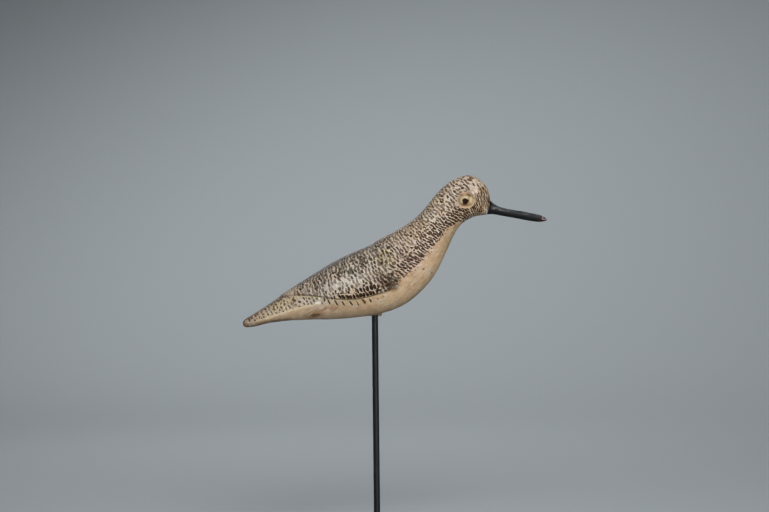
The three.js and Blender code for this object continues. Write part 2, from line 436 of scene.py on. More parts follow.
@dataclass(frozen=True)
class PaintedWood(Finish):
    """Old oil paint on carved wood: a pale ground with rows of small dark strokes, and brown wear.

    A share is how much of a tint shows where it is strongest. drift and wobble are how far the rows of
    strokes wander in wide and in narrow waves, in millimetres.
    """

    belly: Vector
    brushes: tuple[Brushwork, ...] = (
        Brushwork(Mark.FINE, pitch=3.5, row=4.2, width=2.0, length=5.0, stray=0.45, swing=0.55, fade=0.35),
        Brushwork(Mark.DENSE, pitch=3.1, row=3.5, width=2.0, length=3.7, fade=0.3),
        Brushwork(Mark.NECK, pitch=3.2, row=4.0, width=2.2, length=4.8, lean=0.22, swing=0.4, fade=0.05),
        Brushwork(Mark.TAIL, pitch=3.7, row=4.0, width=1.6, length=3.6, lean=0.1, stray=0.45, fade=0.3),
        Brushwork(Mark.FACE, pitch=3.0, row=5.2, width=1.8, length=5.4, fade=0.3),
        Brushwork(Mark.BOLD, 3.4, 5.2, 2.8, 4.8, lean=0.25, rows=Rows.WING, stray=0.25, fade=0.0),
        Brushwork(Mark.TICKS, 6.8, 8.2, 1.6, 5.0, lean=0.2, rows=Rows.WING, stray=0.16, fade=0.1),
        Brushwork(Mark.DOTS, pitch=2.6, row=2.8, width=1.2, length=1.5, stray=0.6, fade=0.3),
    )
    dabs: tuple[Dab, ...] = (
        Dab(92.8, 128.5, 3.7, 0.75, -47, 0.95, srgb(52, 46, 42)),
        Dab(99.6, 130.5, 2.4, 0.85, -58, 0.9, srgb(44, 36, 28)),
        Dab(48.7, 47.1, 1.3, 0.95, -20, 0.85, srgb(104, 72, 44)),
        Dab(56.9, 43.2, 1.0, 0.9, 0, 0.7, srgb(128, 84, 44)),
        Dab(35.4, 33.6, 3.0, 0.6, 38, 0.55, srgb(134, 96, 72)),
        Dab(39.8, 32.2, 2.4, 0.5, 30, 0.45, srgb(134, 96, 72)),
        Dab(6.8, 52.9, 1.6, 2.0, 20, 0.85, srgb(56, 32, 30)),
        Dab(-23.5, 45.3, 2.6, 2.6, -30, 0.75, srgb(46, 54, 44)),
        Dab(3.2, 18.2, 1.0, 0.8, 0, 0.8, srgb(88, 60, 42)),
        Dab(8.6, 20.6, 0.8, 0.8, 0, 0.7, srgb(88, 60, 42)),
        Dab(-55.8, 14.8, 3.0, 1.5, 10, 0.6, srgb(224, 216, 202)),
        Dab(-58.6, 2.4, 4.8, 1.7, 8, 0.75, srgb(92, 62, 36)),
        Dab(-49.9, 8.3, 3.4, 0.9, 28, 0.6, srgb(112, 78, 48)),
        Dab(90.9, 123.9, 2.0, 0.6, -5, 0.85, srgb(62, 46, 38)),
        Dab(84.4, 121.1, 2.2, 0.6, -12, 0.8, srgb(74, 60, 48)),
        # painted shade: olive in the eye's groove at its upper right
        Dab(97.8, 121.0, 2.6, 0.55, -48, 0.7, srgb(100, 92, 74)),
        Dab(90.2, 121.9, 3.4, 1.0, 0, 0.75, srgb(190, 154, 128)),
        Dab(91.0, 108.2, 6.0, 0.9, 0, 0.7, srgb(196, 162, 134)),
        Dab(83.4, 113.6, 0.8, 4.0, 5, 0.7, srgb(180, 144, 114)),
        Dab(99.0, 112.4, 1.1, 3.2, -15, 0.6, srgb(182, 156, 134)),
        # painted shade: olive in the eye's groove at its left
        Dab(85.2, 115.2, 0.9, 3.2, -4, 0.65, srgb(136, 118, 72)),
        Dab(87.6, 119.7, 1.9, 0.8, 20, 0.75, srgb(122, 98, 72)),
        # painted shade: olive under the eye's upper rim
        Dab(94.6, 119.9, 2.5, 1.2, -22, 0.9, srgb(106, 90, 50)),
        Dab(96.8, 115.0, 1.4, 3.4, 0, 0.85, srgb(196, 180, 134)),
        Dab(91.4, 117.8, 2.4, 0.9, 0, 0.85, srgb(196, 174, 150)),
        Dab(87.5, 115.4, 1.2, 2.6, 0, 0.7, srgb(172, 158, 118)),
        Dab(86.8, 111.4, 1.5, 1.3, -30, 0.7, srgb(138, 114, 78)),
        # painted shadow under the pupil
        Dab(90.4, 110.6, 2.8, 1.1, -8, 0.8, srgb(104, 78, 54)),
    )
    stain_colour: Colour = srgb(128, 88, 56)
    stain_share: float = 0.75
    speck_share: float = 0.5
    # painted shade: the brown that darkens the wing's edge groove and the eye's groove
    groove_shade_colour: Colour = srgb(86, 62, 44)
    light_wisp: Colour = srgb(214, 196, 170)
    light_share: float = 0.6
    dark_wisp: Colour = srgb(120, 94, 66)
    dark_share: float = 0.5
    worn_ink: Colour = srgb(132, 106, 78)
    worn_share: float = 0.14
    ink_hues: tuple[Colour, ...] = (srgb(56, 26, 32), srgb(52, 46, 20), srgb(78, 48, 27))
    ink_hue_share: float = 0.35
    glint: Colour = srgb(226, 217, 203)
    glint_share: float = 0.66
    gap: Colour = srgb(114, 94, 70)
    gap_share: float = 0.5
    pupil: Colour = srgb(34, 16, 8)
    hues: tuple[Colour, ...] = (srgb(176, 160, 112), srgb(184, 142, 122), srgb(186, 188, 190))
    hue_share: float = 0.32
    ragged: float = 0.7
    drift: float = 4.5
    wobble: float = 2.2
    near_side: Span = (2.0, -2.0)
    roughness: float = 0.44
    rougher_ground: float = 0.22
    smoother_ink: float = 0.06
    roughest: float = 0.8
    paint_thickness: float = 0.12

    def fill(self, graph: Graph) -> None:
        """Fills the shader: ground, stains, strokes, single dabs, then painted shade in the cuts.

        Args:
            graph: The empty shader tree.
        """
        here = graph.here()
        fray = graph.clouds(here, size=0.8, seed=7).centred() * self.ragged
        streak = self.streak(graph)
        ground, weathered = self.ground(graph, here, streak)
        strokes = self.strokes(graph, here, fray)
        lighter = graph.clouds(here, size=2.0, detail=1.0, seed=29).rise(0.5, 0.85)
        ink = graph.mix(lighter * self.worn_share, graph.attribute(Mark.INK), self.worn_ink)
        hues = graph.clouds(here, size=3.4, detail=1.0, seed=41).other("Color").split()
        for hue, tint in zip(hues, self.ink_hues):
            ink = graph.mix(hue.rise(0.5, 0.66) * self.ink_hue_share, ink, tint)
        colour = graph.mix(strokes, ground, ink)
        x, y, z = here.split()
        for dab in self.dabs:
            near = dab.mask(x - self.belly.x / MM, z - self.belly.z / MM, fray)
            colour = graph.mix(near * y.rise(*self.near_side), colour, dab.tint)
        # painted shade darkens the wing's edge groove and the eye's groove
        colour = graph.mix(graph.carried(Mark.GROOVE_SHADE), colour, self.groove_shade_colour)
        colour = graph.mix(graph.carried(Mark.PUPIL), colour, self.pupil)
        rough = weathered * self.rougher_ground + self.roughness - strokes * self.smoother_ink
        rough = rough.least(self.roughest)
        skin = graph.clouds(here, size=0.9, detail=3.0, seed=5)
        height = streak * 0.35 + strokes * 0.3 + skin * 0.35
        normal = graph.bump(height, self.paint_thickness)
        looks = {"Base Color": colour, "Roughness": rough, "Normal": normal}
        graph.shader({"Specular IOR Level": 0.06}, looks)

    def streak(self, graph: Graph) -> Value:
        """Fine lines of wood grain that run along the bird, from 0 to 1."""
        along, girth = graph.carried(Mark.ALONG), graph.carried(Mark.GIRTH)
        return graph.clouds(graph.vector(along / 26.0, girth / 0.9), size=1.0, detail=3.0, seed=17)

    def ground(self, graph: Graph, here: Value, streak: Value) -> tuple[Value, Value]:
        """The pale ground with its stains.

        Args:
            graph: The shader tree.
            here: The place on the bird in millimetres.
            streak: The wood grain, from 0 to 1.

        Returns:
            The ground's colour, and how weathered it is from 0 to 1.
        """
        blotch = graph.clouds(here, size=6.0, detail=4.0, seed=1)
        fleck = graph.clouds(here, size=1.3, seed=21)
        shade = blotch.centred() * 0.8 + streak.centred() * 0.5 + fleck.centred() * 0.9
        ground = graph.attribute(Mark.GROUND)
        hues = graph.clouds(here, size=5.0, detail=3.0, seed=37).other("Color").split()
        for hue, tint in zip(hues, self.hues):
            ground = graph.mix(hue.rise(0.5, 0.72) * self.hue_share, ground, tint)
        ground = graph.mix(shade.rise(0.0, 0.4) * self.light_share, ground, self.light_wisp)
        ground = graph.mix((-shade).rise(0.0, 0.45) * self.dark_share, ground, self.dark_wisp)
        stain, painted = graph.carried(Mark.STAIN), graph.carried(Mark.PAINTED)
        along, girth = graph.carried(Mark.ALONG), graph.carried(Mark.GIRTH)
        touched = graph.vector(graph.carried(Mark.SLANT) / 1.3, girth / 3.2)
        touches = graph.clouds(touched, size=1.0, seed=31)
        ground = graph.mix(touches.rise(0.52, 0.7) * painted * self.glint_share, ground, self.glint)
        ground = graph.mix(touches.rise(0.48, 0.3) * painted * self.gap_share, ground, self.gap)
        wisps = graph.clouds(graph.vector(along / 8.0, girth / 1.6), size=1.0, detail=5.0, seed=9)
        stained = (wisps + stain * 0.4 - 0.72).rise(-0.12, 0.3) * stain.rise(0.02, 0.3)
        ground = graph.mix(stained * self.stain_share, ground, self.stain_colour)
        specks = graph.clouds(here, size=1.4, detail=1.0, seed=13).rise(0.76, 0.84)
        return graph.mix(specks * self.speck_share, ground, self.stain_colour), blotch

    def strokes(self, graph: Graph, here: Value, fray: Value) -> Value:
        """All the brush strokes together.

        Args:
            graph: The shader tree.
            here: The place on the bird in millimetres.
            fray: How far a stroke's edge is moved out.

        Returns:
            0 off the strokes and up to 1 on them.
        """
        drift = graph.clouds(here, size=16.0, detail=1.0, seed=2).other("Color").split()
        wobble = graph.clouds(here, size=4.0, detail=1.0, seed=3).other("Color").split()
        ahead, down = (
            wide.centred() * self.drift + narrow.centred() * self.wobble
            for wide, narrow in zip(drift[:2], wobble[:2])
        )
        field = StrokeField(
            along=graph.carried(Mark.ALONG) + ahead,
            slant=graph.carried(Mark.SLANT) + ahead,
            girth=graph.carried(Mark.GIRTH) + down,
            above=graph.carried(Mark.WING),
            fray=fray,
            side=here.split()[1].math("SIGN") * 50.0,
        )
        bare = None
        for number, brush in enumerate(self.brushes):
            left = 1.0 - brush.mask(graph, field, 11.0 * number + 3.0)
            bare = left if bare is None else bare * left
        worn = graph.clouds(here, size=3.2, detail=3.0, seed=19).rise(0.28, 0.46)
        return (1.0 - bare) * worn.between(0.92, 1.0)


@dataclass(frozen=True)
class BillPaint(Finish):
    """Black paint, greyed along the ridge by wear and a painted highlight, rubbed near the face and chipped
    to bare wood at the tip.
    """

    black: Colour = srgb(20, 20, 21)
    # worn paint and a painted highlight along the bill's ridge
    ridge_wear_and_highlight: Colour = srgb(84, 86, 91)
    most_ridge_wear_and_highlight: float = 0.85
    rubbed: Colour = srgb(128, 125, 116)
    rubbed_share: float = 0.55
    wood: Colour = srgb(158, 134, 128)
    wood_share: float = 0.85
    red_wood: Colour = srgb(50, 26, 26)
    red_share: float = 0.8
    paint_thickness: float = 0.1

    def fill(self, graph: Graph) -> None:
        """Fills the shader: black, the ridge greyed by wear and a painted highlight, the rubbed patches, then
        the chips.

        Args:
            graph: The empty shader tree.
        """
        here = graph.here()
        x, y, z = here.split()
        ridge, wear = graph.carried(Mark.BILL_RIDGE_WEAR_AND_HIGHLIGHT), graph.carried(Mark.BILL_WEAR)
        chips, under = graph.carried(Mark.BILL_CHIPS), graph.carried(Mark.BILL_UNDER)
        brushed = graph.clouds(graph.vector(x / 7.0, y / 1.2, z / 1.2), size=1.0, detail=3.0, seed=11)
        patches = graph.clouds(graph.vector(x / 1.6, y, z), size=1.7, detail=3.0, seed=1)
        # the ridge greyed by worn paint and by a painted highlight along the top
        ridge_wear_and_highlight = ridge * brushed.rise(0.36, 0.64).between(0.12, 0.67)
        rubbed = (patches + wear * 0.3 - 0.82).rise(-0.08, 0.12) * wear.rise(0.0, 0.3)
        bare = (graph.clouds(here, size=1.3, detail=3.0, seed=4) + chips * 0.4 - 0.86).rise(-0.05, 0.1)
        colour = graph.mix(ridge_wear_and_highlight.least(self.most_ridge_wear_and_highlight), self.black, self.ridge_wear_and_highlight)
        colour = graph.mix(rubbed * self.rubbed_share, colour, self.rubbed)
        reddened = (under * self.red_share + patches.centred() * under).most(0.0)
        colour = graph.mix(reddened, colour, self.red_wood)
        colour = graph.mix(bare * self.wood_share, colour, self.wood)
        rough = 0.38 + patches * 0.16 + bare * 0.15
        height = (1.0 - bare) * 0.6 + patches * 0.25 + brushed * 0.15
        normal = graph.bump(height, self.paint_thickness)
        looks = {"Base Color": colour, "Roughness": rough, "Normal": normal}
        graph.shader({"Specular IOR Level": 0.11}, looks)


@dataclass(frozen=True)
class BlackMetal(Finish):
    """Black satin finish on steel, with fine handling marks."""

    black: Colour = srgb(14, 15, 18)
    dust: Colour = srgb(76, 76, 80)
    speck_share: float = 0.5
    mark_share: float = 0.12
    grain_height: float = 0.02

    def fill(self, graph: Graph) -> None:
        """Fills the shader: black with faint cloudy handling marks and a few specks of dust.

        Args:
            graph: The empty shader tree.
        """
        here = graph.here()
        cloud = graph.clouds(here, size=9.0, detail=4.0, seed=2)
        speck = graph.clouds(here, size=1.1, detail=1.0, seed=6).rise(0.76, 0.82)
        dusty = speck * self.speck_share + cloud.rise(0.5, 0.9) * self.mark_share
        colour = graph.mix(dusty, self.black, self.dust)
        rough = cloud.between(0.4, 0.6)
        normal = graph.bump(graph.clouds(here, size=0.5, seed=8), self.grain_height)
        looks = {"Base Color": colour, "Roughness": rough, "Normal": normal}
        graph.shader({"Specular IOR Level": 0.28}, looks)


@dataclass(frozen=True)
class Paper(Finish):
    """The studio's plain pale paper, one grey with the faintest mottling."""

    shade: Colour = srgb(181, 188, 192)
    mottled: Colour = srgb(142, 148, 150)
    mottled_share: float = 0.03

    def fill(self, graph: Graph) -> None:
        """Fills the shader.

        Args:
            graph: The empty shader tree.
        """
        mottle = graph.clouds(graph.here(), size=60.0, seed=1)
        colour = graph.mix(mottle * self.mottled_share, self.shade, self.mottled)
        graph.shader({"Roughness": 0.9, "Specular IOR Level": 0.1}, {"Base Color": colour})


@dataclass(frozen=True)
class Survey:
    """Where each vertex of the bird is. All is in millimetres but turned.

    Args:
        places: Rows of forward of the rod and above the belly, which patches are laid by.
        forward: Forward of the rod.
        drop: Down from the back's line, as seen from the side.
        rise: Up from the belly's line, as seen from the side.
        turned: How far round, from 0 at the back to 1 at the belly.
        edge: Above the painted upper part's lower bound.
        wing: Inside the wing's outline.
        eye: From the eye's middle.
    """

    places: Array
    forward: Array
    drop: Array
    rise: Array
    turned: Array
    edge: Array
    wing: Array
    eye: Array


@dataclass(frozen=True)
class Zone:
    """Where the survey's measures lie in certain spans. An empty span leaves its measure out."""

    strength: float = 1.0
    forward: Span = ()
    drop: Span = ()
    rise: Span = ()
    turned: Span = ()
    edge: Span = ()
    wing: Span = ()
    eye: Span = ()

    def weight(self, survey: Survey) -> Array:
        """How strongly the zone acts at each vertex.

        Args:
            survey: Where the vertices are.

        Returns:
            Its strength where every span is full, falling smoothly to 0.
        """
        share = np.full(len(survey.forward), self.strength)
        for measure in ("forward", "drop", "rise", "turned", "edge", "wing", "eye"):
            share = share * within(getattr(survey, measure), getattr(self, measure))
        return share


@dataclass(frozen=True)
class Patch:
    """A soft oval on the bird's side, seen square to it, in millimetres from where the rod enters."""

    forward: float
    up: float
    half_length: float
    half_width: float
    turn: float = 0.0
    strength: float = 1.0
    edge: Span = (1.25, 0.6)

    def at(self, side_view: Array) -> Array:
        """How strongly the patch acts at each place.

        Args:
            side_view: Places as rows of forward and up, in millimetres.

        Returns:
            The strength within the oval, falling softly to 0 outside it.
        """
        cosine, sine = math.cos(math.radians(self.turn)), math.sin(math.radians(self.turn))
        ahead, above = side_view[:, 0] - self.forward, side_view[:, 1] - self.up
        along = (ahead * cosine + above * sine) / self.half_length
        across = (above * cosine - ahead * sine) / self.half_width
        return self.strength * smooth(np.hypot(along, across), *self.edge)

    def weight(self, survey: Survey) -> Array:
        """How strongly the patch acts at each vertex."""
        return self.at(survey.places)


Parts = tuple[Patch | Zone, ...]
Layers = tuple[tuple[Colour, Parts], ...]


def cover(parts: Parts, survey: Survey) -> Array:
    """The strongest of several patches and zones at each vertex."""
    return np.max([part.weight(survey) for part in parts], axis=0)


def over(colour: Array, share: Array, tint: Colour) -> Array:
    """Rows of colours with a share of a tint laid over each."""
    share = np.clip(share, 0, 1)[:, None]
    return colour * (1 - share) + np.array(tint) * share


def coat(colour: Array, layers: Layers, survey: Survey) -> Array:
    """Colours with several layers laid over them, one after the other.

    Args:
        colour: A row of red, green, blue and alpha for each vertex.
        layers: Each layer's tint and where it lies.
        survey: Where the vertices are.

    Returns:
        The new colours.
    """
    for tint, parts in layers:
        colour = over(colour, cover(parts, survey), tint)
    return colour


def signed_distance(places: Array, outline: Array) -> Array:
    """How far places lie inside a closed outline.

    Args:
        places: Rows of two coordinates.
        outline: The outline's corners, in order.

    Returns:
        The distance to the outline, positive inside it.
    """
    nearest = np.full(len(places), np.inf)
    inside = np.zeros(len(places), bool)
    for start, end in zip(outline, np.roll(outline, -1, axis=0)):
        run = end - start
        offset = places - start
        share = np.clip(offset @ run / (run @ run), 0, 1)
        nearest = np.minimum(nearest, np.linalg.norm(offset - share[:, None] * run, axis=1))
        if start[1] != end[1]:
            crosses = (start[1] > places[:, 1]) != (end[1] > places[:, 1])
            inside ^= crosses & (offset[:, 0] < run[0] * offset[:, 1] / run[1])
    return np.where(inside, nearest, -nearest)


def through(corners: Array, share: Array, closed: bool = True) -> Array:
    """Places on a smooth curve through points, which leans on the points' own spacing.

    Args:
        corners: The points that the curve goes through.
        share: How far round the curve, from 0 to 1.
        closed: Whether the curve runs back to its first point.

    Returns:
        One place for each share.
    """
    count = len(corners)
    if not closed:
        corners = np.vstack([2 * corners[0] - corners[1], corners, 2 * corners[-1] - corners[-2]])
        spot = np.clip(share, 0, ALMOST_ONE) * (count - 1)
    else:
        spot = share % 1 * count
    first = np.floor(spot).astype(int)
    t = (spot - first)[:, None]
    shift = 0 if closed else 1
    a, b, c, d = (corners[(first + shift + step) % len(corners)] for step in (-1, 0, 1, 2))
    ab, bc, cd = (np.sqrt(np.linalg.norm(q - p, axis=1, keepdims=True)) for p, q in ((a, b), (b, c), (c, d)))
    leaving = ((b - a) / ab - (c - a) / (ab + bc) + (c - b) / bc) * bc
    arriving = ((c - b) / bc - (d - b) / (bc + cd) + (d - c) / cd) * bc
    return (
        b
        + leaving * t
        + (3 * (c - b) - 2 * leaving - arriving) * t**2
        + (2 * (b - c) + leaving + arriving) * t**3
    )


@dataclass(frozen=True)
class Rib:
    """A cross-section of a carved form, from its back to its belly, as seen from the side."""

    back: Place
    belly: Place
    half: float


@dataclass(frozen=True)
class Hull:
    """A closed carved form over ribs. All its lengths are in one unit.

    A place on it is a share of the way from its rear end to its front, and an angle round it from
    its back, which grows towards -Y.
    """

    rear: Place
    ribs: tuple[Rib, ...]
    front: Place
    waist: float
    boxiness: float = 2.2
    probe: float = 2e-4
    turn_probe: float = 4e-3
    tries: int = 4000

    def outline(self) -> Array:
        """The closed outline over the backs and back along the bellies.

        Returns:
            Rows of forward, half width and up.
        """
        over = [(rib.back[0], rib.half, rib.back[1]) for rib in self.ribs]
        under = [(rib.belly[0], -rib.half, rib.belly[1]) for rib in self.ribs]
        ends = [(end[0], 0.0, end[1]) for end in (self.rear, self.front)]
        return np.array([ends[0], *over, ends[1], *reversed(under)])

    def section(self, place: Array) -> tuple[Array, Array, Array]:
        """The ribs that lie at places along the form.

        Args:
            place: The places, from 0 to 1.

        Returns:
            The back and the belly as rows of forward and up, and the half width.
        """
        outline = self.outline()
        back = through(outline, place / 2)
        belly = through(outline, 1 - place / 2)
        return back[:, [0, 2]], belly[:, [0, 2]], (back[:, 1] - belly[:, 1]) / 2

    def squared(self, value: Array) -> Array:
        """A sine or cosine bent from an ellipse towards a square."""
        return np.sign(value) * np.abs(value) ** (2 / self.boxiness)

    def points(self, place: Array, angle: Array) -> Array:
        """The surface at each place and angle.

        Args:
            place: How far along, from 0 to 1.
            angle: How far round from the back.

        Returns:
            Rows of X, Y and Z.
        """
        back, belly, half = self.section(place)
        rise, out = self.squared(np.cos(angle)), self.squared(np.sin(angle))
        share = np.where(rise > 0, self.waist + (1 - self.waist) * rise, self.waist * (1 + rise))
        spot = belly + (back - belly) * share[:, None]
        return np.column_stack([spot[:, 0], -half * out, spot[:, 1]])

    def normals(self, place: Array, angle: Array) -> Array:
        """The way out of the surface at each place and angle.

        Args:
            place: How far along, from 0 to 1.
            angle: How far round from the back.

        Returns:
            Rows of X, Y and Z, one unit long.
        """
        step, turn = self.probe, self.turn_probe
        inner = np.clip(place, 2 * step, 1 - 2 * step)
        lengthwise = self.points(inner + step, angle) - self.points(inner - step, angle)
        round_it = self.points(inner, angle + turn) - self.points(inner, angle - turn)
        out = np.cross(round_it, lengthwise)
        return out / np.linalg.norm(out, axis=1, keepdims=True)

    def even_places(self, spacing: Callable[[Array], Array]) -> Array:
        """Places whose distance apart follows a rule.

        Args:
            spacing: Gives the wanted distance from ring to ring at each place.

        Returns:
            Places from 0 to 1, with both ends.
        """
        tries = np.linspace(0, 1, self.tries)
        back, belly, _ = self.section(tries)
        steps = [np.linalg.norm(np.diff(line, axis=0), axis=1) for line in (back, belly)]
        wanted = spacing((tries[1:] + tries[:-1]) / 2)
        rings = np.concatenate([[0], np.cumsum(np.mean(steps, axis=0) / wanted)])
        count = int(round(rings[-1]))
        return np.interp(np.linspace(0, rings[-1], count + 1), rings, tries)

    def grid(self, places: Array, around: int) -> bmesh.types.BMesh:
        """A closed mesh of rings, whose vertices carry their place and angle.

        Args:
            places: The rings' places, with both ends.
            around: How many vertices a ring has.

        Returns:
            The mesh, with layers for the place and for the angle's cosine and sine.
        """
        made = bmesh.new()
        layers = [made.verts.layers.float.new(name) for name in SPOT_LAYERS]

        def vertex(place: float, cosine: float, sine: float) -> bmesh.types.BMVert:
            """Adds one vertex.

            Args:
                place: How far along, from 0 to 1.
                cosine: The cosine of its angle from the back.
                sine: The sine of that angle.

            Returns:
                The vertex, which carries all three.
            """
            new = made.verts.new((place, cosine, sine))
            for layer, number in zip(layers, (place, cosine, sine)):
                new[layer] = number
            return new

        turns = [step * TURN / around for step in range(around)]
        rings = [[vertex(place, math.cos(turn), math.sin(turn)) for turn in turns] for place in places[1:-1]]
        ends = [vertex(0.0, 0.0, 0.0), vertex(1.0, 0.0, 0.0)]
        for step in range(around):
            after = (step + 1) % around
            made.faces.new((ends[0], rings[0][step], rings[0][after]))
            made.faces.new((ends[1], rings[-1][after], rings[-1][step]))
            for ring, ahead in zip(rings, rings[1:]):
                made.faces.new((ring[after], ring[step], ahead[step], ahead[after]))
        return made

    @staticmethod
    def spots(made: bmesh.types.BMesh) -> tuple[Array, Array]:
        """Each vertex's place and angle.

        Args:
            made: A mesh from grid, subdivided or not.

        Returns:
            The places and the angles.
        """
        layers = [made.verts.layers.float[name] for name in SPOT_LAYERS]
        rows = np.array([[vertex[layer] for layer in layers] for vertex in made.verts])
        return rows[:, 0], np.arctan2(rows[:, 2], rows[:, 1])


def finer(made: bmesh.types.BMesh, near: Array) -> None:
    """Halves the edges whose both ends are near something.

    Args:
        made: The mesh to change.
        near: Whether each vertex is near.
    """
    made.verts.index_update()
    edges = [edge for edge in made.edges if all(near[vertex.index] for vertex in edge.verts)]
    bmesh.ops.subdivide_edges(made, edges=edges, cuts=1, use_grid_fill=True)
    made.verts.ensure_lookup_table()


def write_mesh(name: str, made: bmesh.types.BMesh, points: Array) -> bpy.types.Object:
    """Puts a mesh's vertices in place and makes it an object.

    Args:
        name: The piece's name.
        made: The mesh, which is used up.
        points: Where each vertex goes.

    Returns:
        The object, in the scene, at the origin.
    """
    for vertex, point in zip(made.verts, points):
        vertex.co = point
    bmesh.ops.triangulate(made, faces=[face for face in made.faces if len(face.verts) > 4])
    bmesh.ops.recalc_face_normals(made, faces=made.faces)
    mesh = bpy.data.meshes.new(name)
    made.to_mesh(mesh)
    made.free()
    for layer in SPOT_LAYERS:
        if layer in mesh.attributes:
            mesh.attributes.remove(mesh.attributes[layer])
    mesh.shade_smooth()
    piece = bpy.data.objects.new(name, mesh)
    bpy.context.scene.collection.objects.link(piece)
    return piece


def carry(piece: bpy.types.Object, mark: Mark, values: Array) -> None:
    """Stores a number or a colour at each vertex of a piece.

    Args:
        piece: The piece.
        mark: What it stands for.
        values: One number for each vertex, or one row of red, green, blue and alpha.
    """
    kind, key = ("FLOAT", "value") if values.ndim == 1 else ("FLOAT_COLOR", "color")
    layer = piece.data.attributes.new(mark.value, kind, "POINT")
    layer.data.foreach_set(key, values.astype(np.float32).ravel())


def applied(piece: bpy.types.Object) -> bpy.types.Object:
    """Turns what a piece's modifiers make into its plain mesh, and removes them.

    Args:
        piece: The piece.

    Returns:
        The same piece.
    """
    graph = bpy.context.evaluated_depsgraph_get()
    mesh = bpy.data.meshes.new_from_object(piece.evaluated_get(graph), depsgraph=graph)
    piece.modifiers.clear()
    piece.data = mesh
    return piece


def cut(piece: bpy.types.Object, tool: bpy.types.Object) -> None:
    """Takes a tool's shape out of a piece, and removes the tool.

    Args:
        piece: The piece to cut.
        tool: A closed mesh.
    """
    modifier = piece.modifiers.new("cut", "BOOLEAN")
    modifier.operation = "DIFFERENCE"
    modifier.solver = "MANIFOLD"
    modifier.object = tool
    applied(piece)
    bpy.data.objects.remove(tool)


def hand_in(piece: bpy.types.Object, finish: Finish, node: str) -> None:
    """Dresses a finished piece, sets it on the body and lets it stand for its node.

    Args:
        piece: The piece.
        finish: What it is covered with.
        node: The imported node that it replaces.
    """
    piece.data.materials.clear()
    piece.data.materials.append(finish.material())
    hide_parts(node)
    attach(piece, BODY)
    LOG.info("%s: %d faces, %s", piece.name, len(piece.data.polygons), finish.name)


@dataclass(frozen=True)
class Setting:
    """Where the bird is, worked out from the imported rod."""

    rod_in_bird: float = 0.028
    length: float = 0.249
    rod_place: float = 53.17

    @property
    def belly(self) -> Vector:
        """Where the rod enters the belly.

        Returns:
            The place, in metres.
        """
        low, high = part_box("rod")
        middle = (low + high) / 2
        return Vector((middle.x, middle.y, high.z - self.rod_in_bird))

    def placed(self, place: Place) -> Place:
        """A place in hundredths of the bird's length, as metres in the row frame.

        Args:
            place: How far forward of the tail tip, and how far above the belly.

        Returns:
            X and Z.
        """
        hundredth = self.length / 100
        belly = self.belly
        return (belly.x + (place[0] - self.rod_place) * hundredth, belly.z + place[1] * hundredth)

    def side_view(self, points: Array) -> Array:
        """Points as seen from the side, in millimetres."""
        belly = self.belly
        return np.column_stack([points[:, 0] - belly.x, points[:, 2] - belly.z]) / MM


@dataclass(frozen=True)
class Wings:
    """The folded wings, carved in low relief out of the bird's sides. Lengths are in millimetres."""

    setting: Setting
    relief: float = 2.2
    edge_width: float = 1.3
    groove_depth: float = 0.45
    groove_place: float = 0.6
    groove_width: float = 0.9
    cove_depth: float = 0.9
    cove_width: float = 3.2
    cut_from: Span = (0.12, 0.3)
    edge: tuple[Place, ...] = (
        (15.3, 8.1), (21.9, 9.1), (27.2, 8.9), (32, 8.4), (38, 7.5), (44.1, 7.2), (49.5, 8), (54.5, 9.3),
        (59.2, 10.9), (61.7, 13), (62.6, 15.6), (61.6, 18), (59.4, 20.3), (56.6, 22), (54.8, 24.3),
        (53.5, 28),
    )
    edge_steps: int = 90
    above: tuple[Place, ...] = ((52, 36), (13, 36))
    tip_relief: float = 0.5
    grows: Span = (0.2, 0.55)
    sinks: float = 0.25
    sinks_from: Span = (0.18, 0.32)
    fades: Span = (0.1, 0.34)
    shoulder: Patch = Patch(20, 37, 22, 20)

    def inside(self, side_view: Array) -> Array:
        """How far each place lies inside the wing's outline, in millimetres.

        Args:
            side_view: Rows of forward and up, in millimetres.

        Returns:
            The distance, positive inside.
        """
        hundredth = self.setting.length / MM / 100
        edge = through(np.array(self.edge), np.linspace(0, 1, self.edge_steps), closed=False)
        outline = np.vstack([edge, self.above])
        outline = (outline - [self.setting.rod_place, 0]) * hundredth
        return signed_distance(side_view, outline)

    def lift(self, place: Array, angle: Array, side_view: Array, inside: Array) -> Array:
        """How far the carving stands off the plain block, in millimetres.

        Args:
            place: How far along the bird, from 0 to 1.
            angle: The angle round it from its back.
            side_view: Rows of forward and up, in millimetres.
            inside: How far inside the wing's outline.

        Returns:
            The lift, which is negative in the groove and the cove.
        """
        turned = np.abs(angle) / math.pi
        height = self.relief * (self.tip_relief + (1 - self.tip_relief) * smooth(place, *self.grows))
        at_ridge = height + (-self.sinks * self.relief - height) * smooth(place, *self.sinks_from)
        swell = at_ridge + (height - at_ridge) * smooth(turned, *self.fades)
        stands = smooth(inside, -self.edge_width / 2, self.edge_width / 2)
        low = smooth(turned, *self.cut_from)
        groove = hump(inside, -self.groove_place, self.groove_width) * self.groove_depth * low
        cove = hump(inside, -self.cove_width, self.cove_width) * self.cove_depth
        cove = cove * self.shoulder.at(side_view) * low
        return swell * stands - groove - cove * (1 - stands)


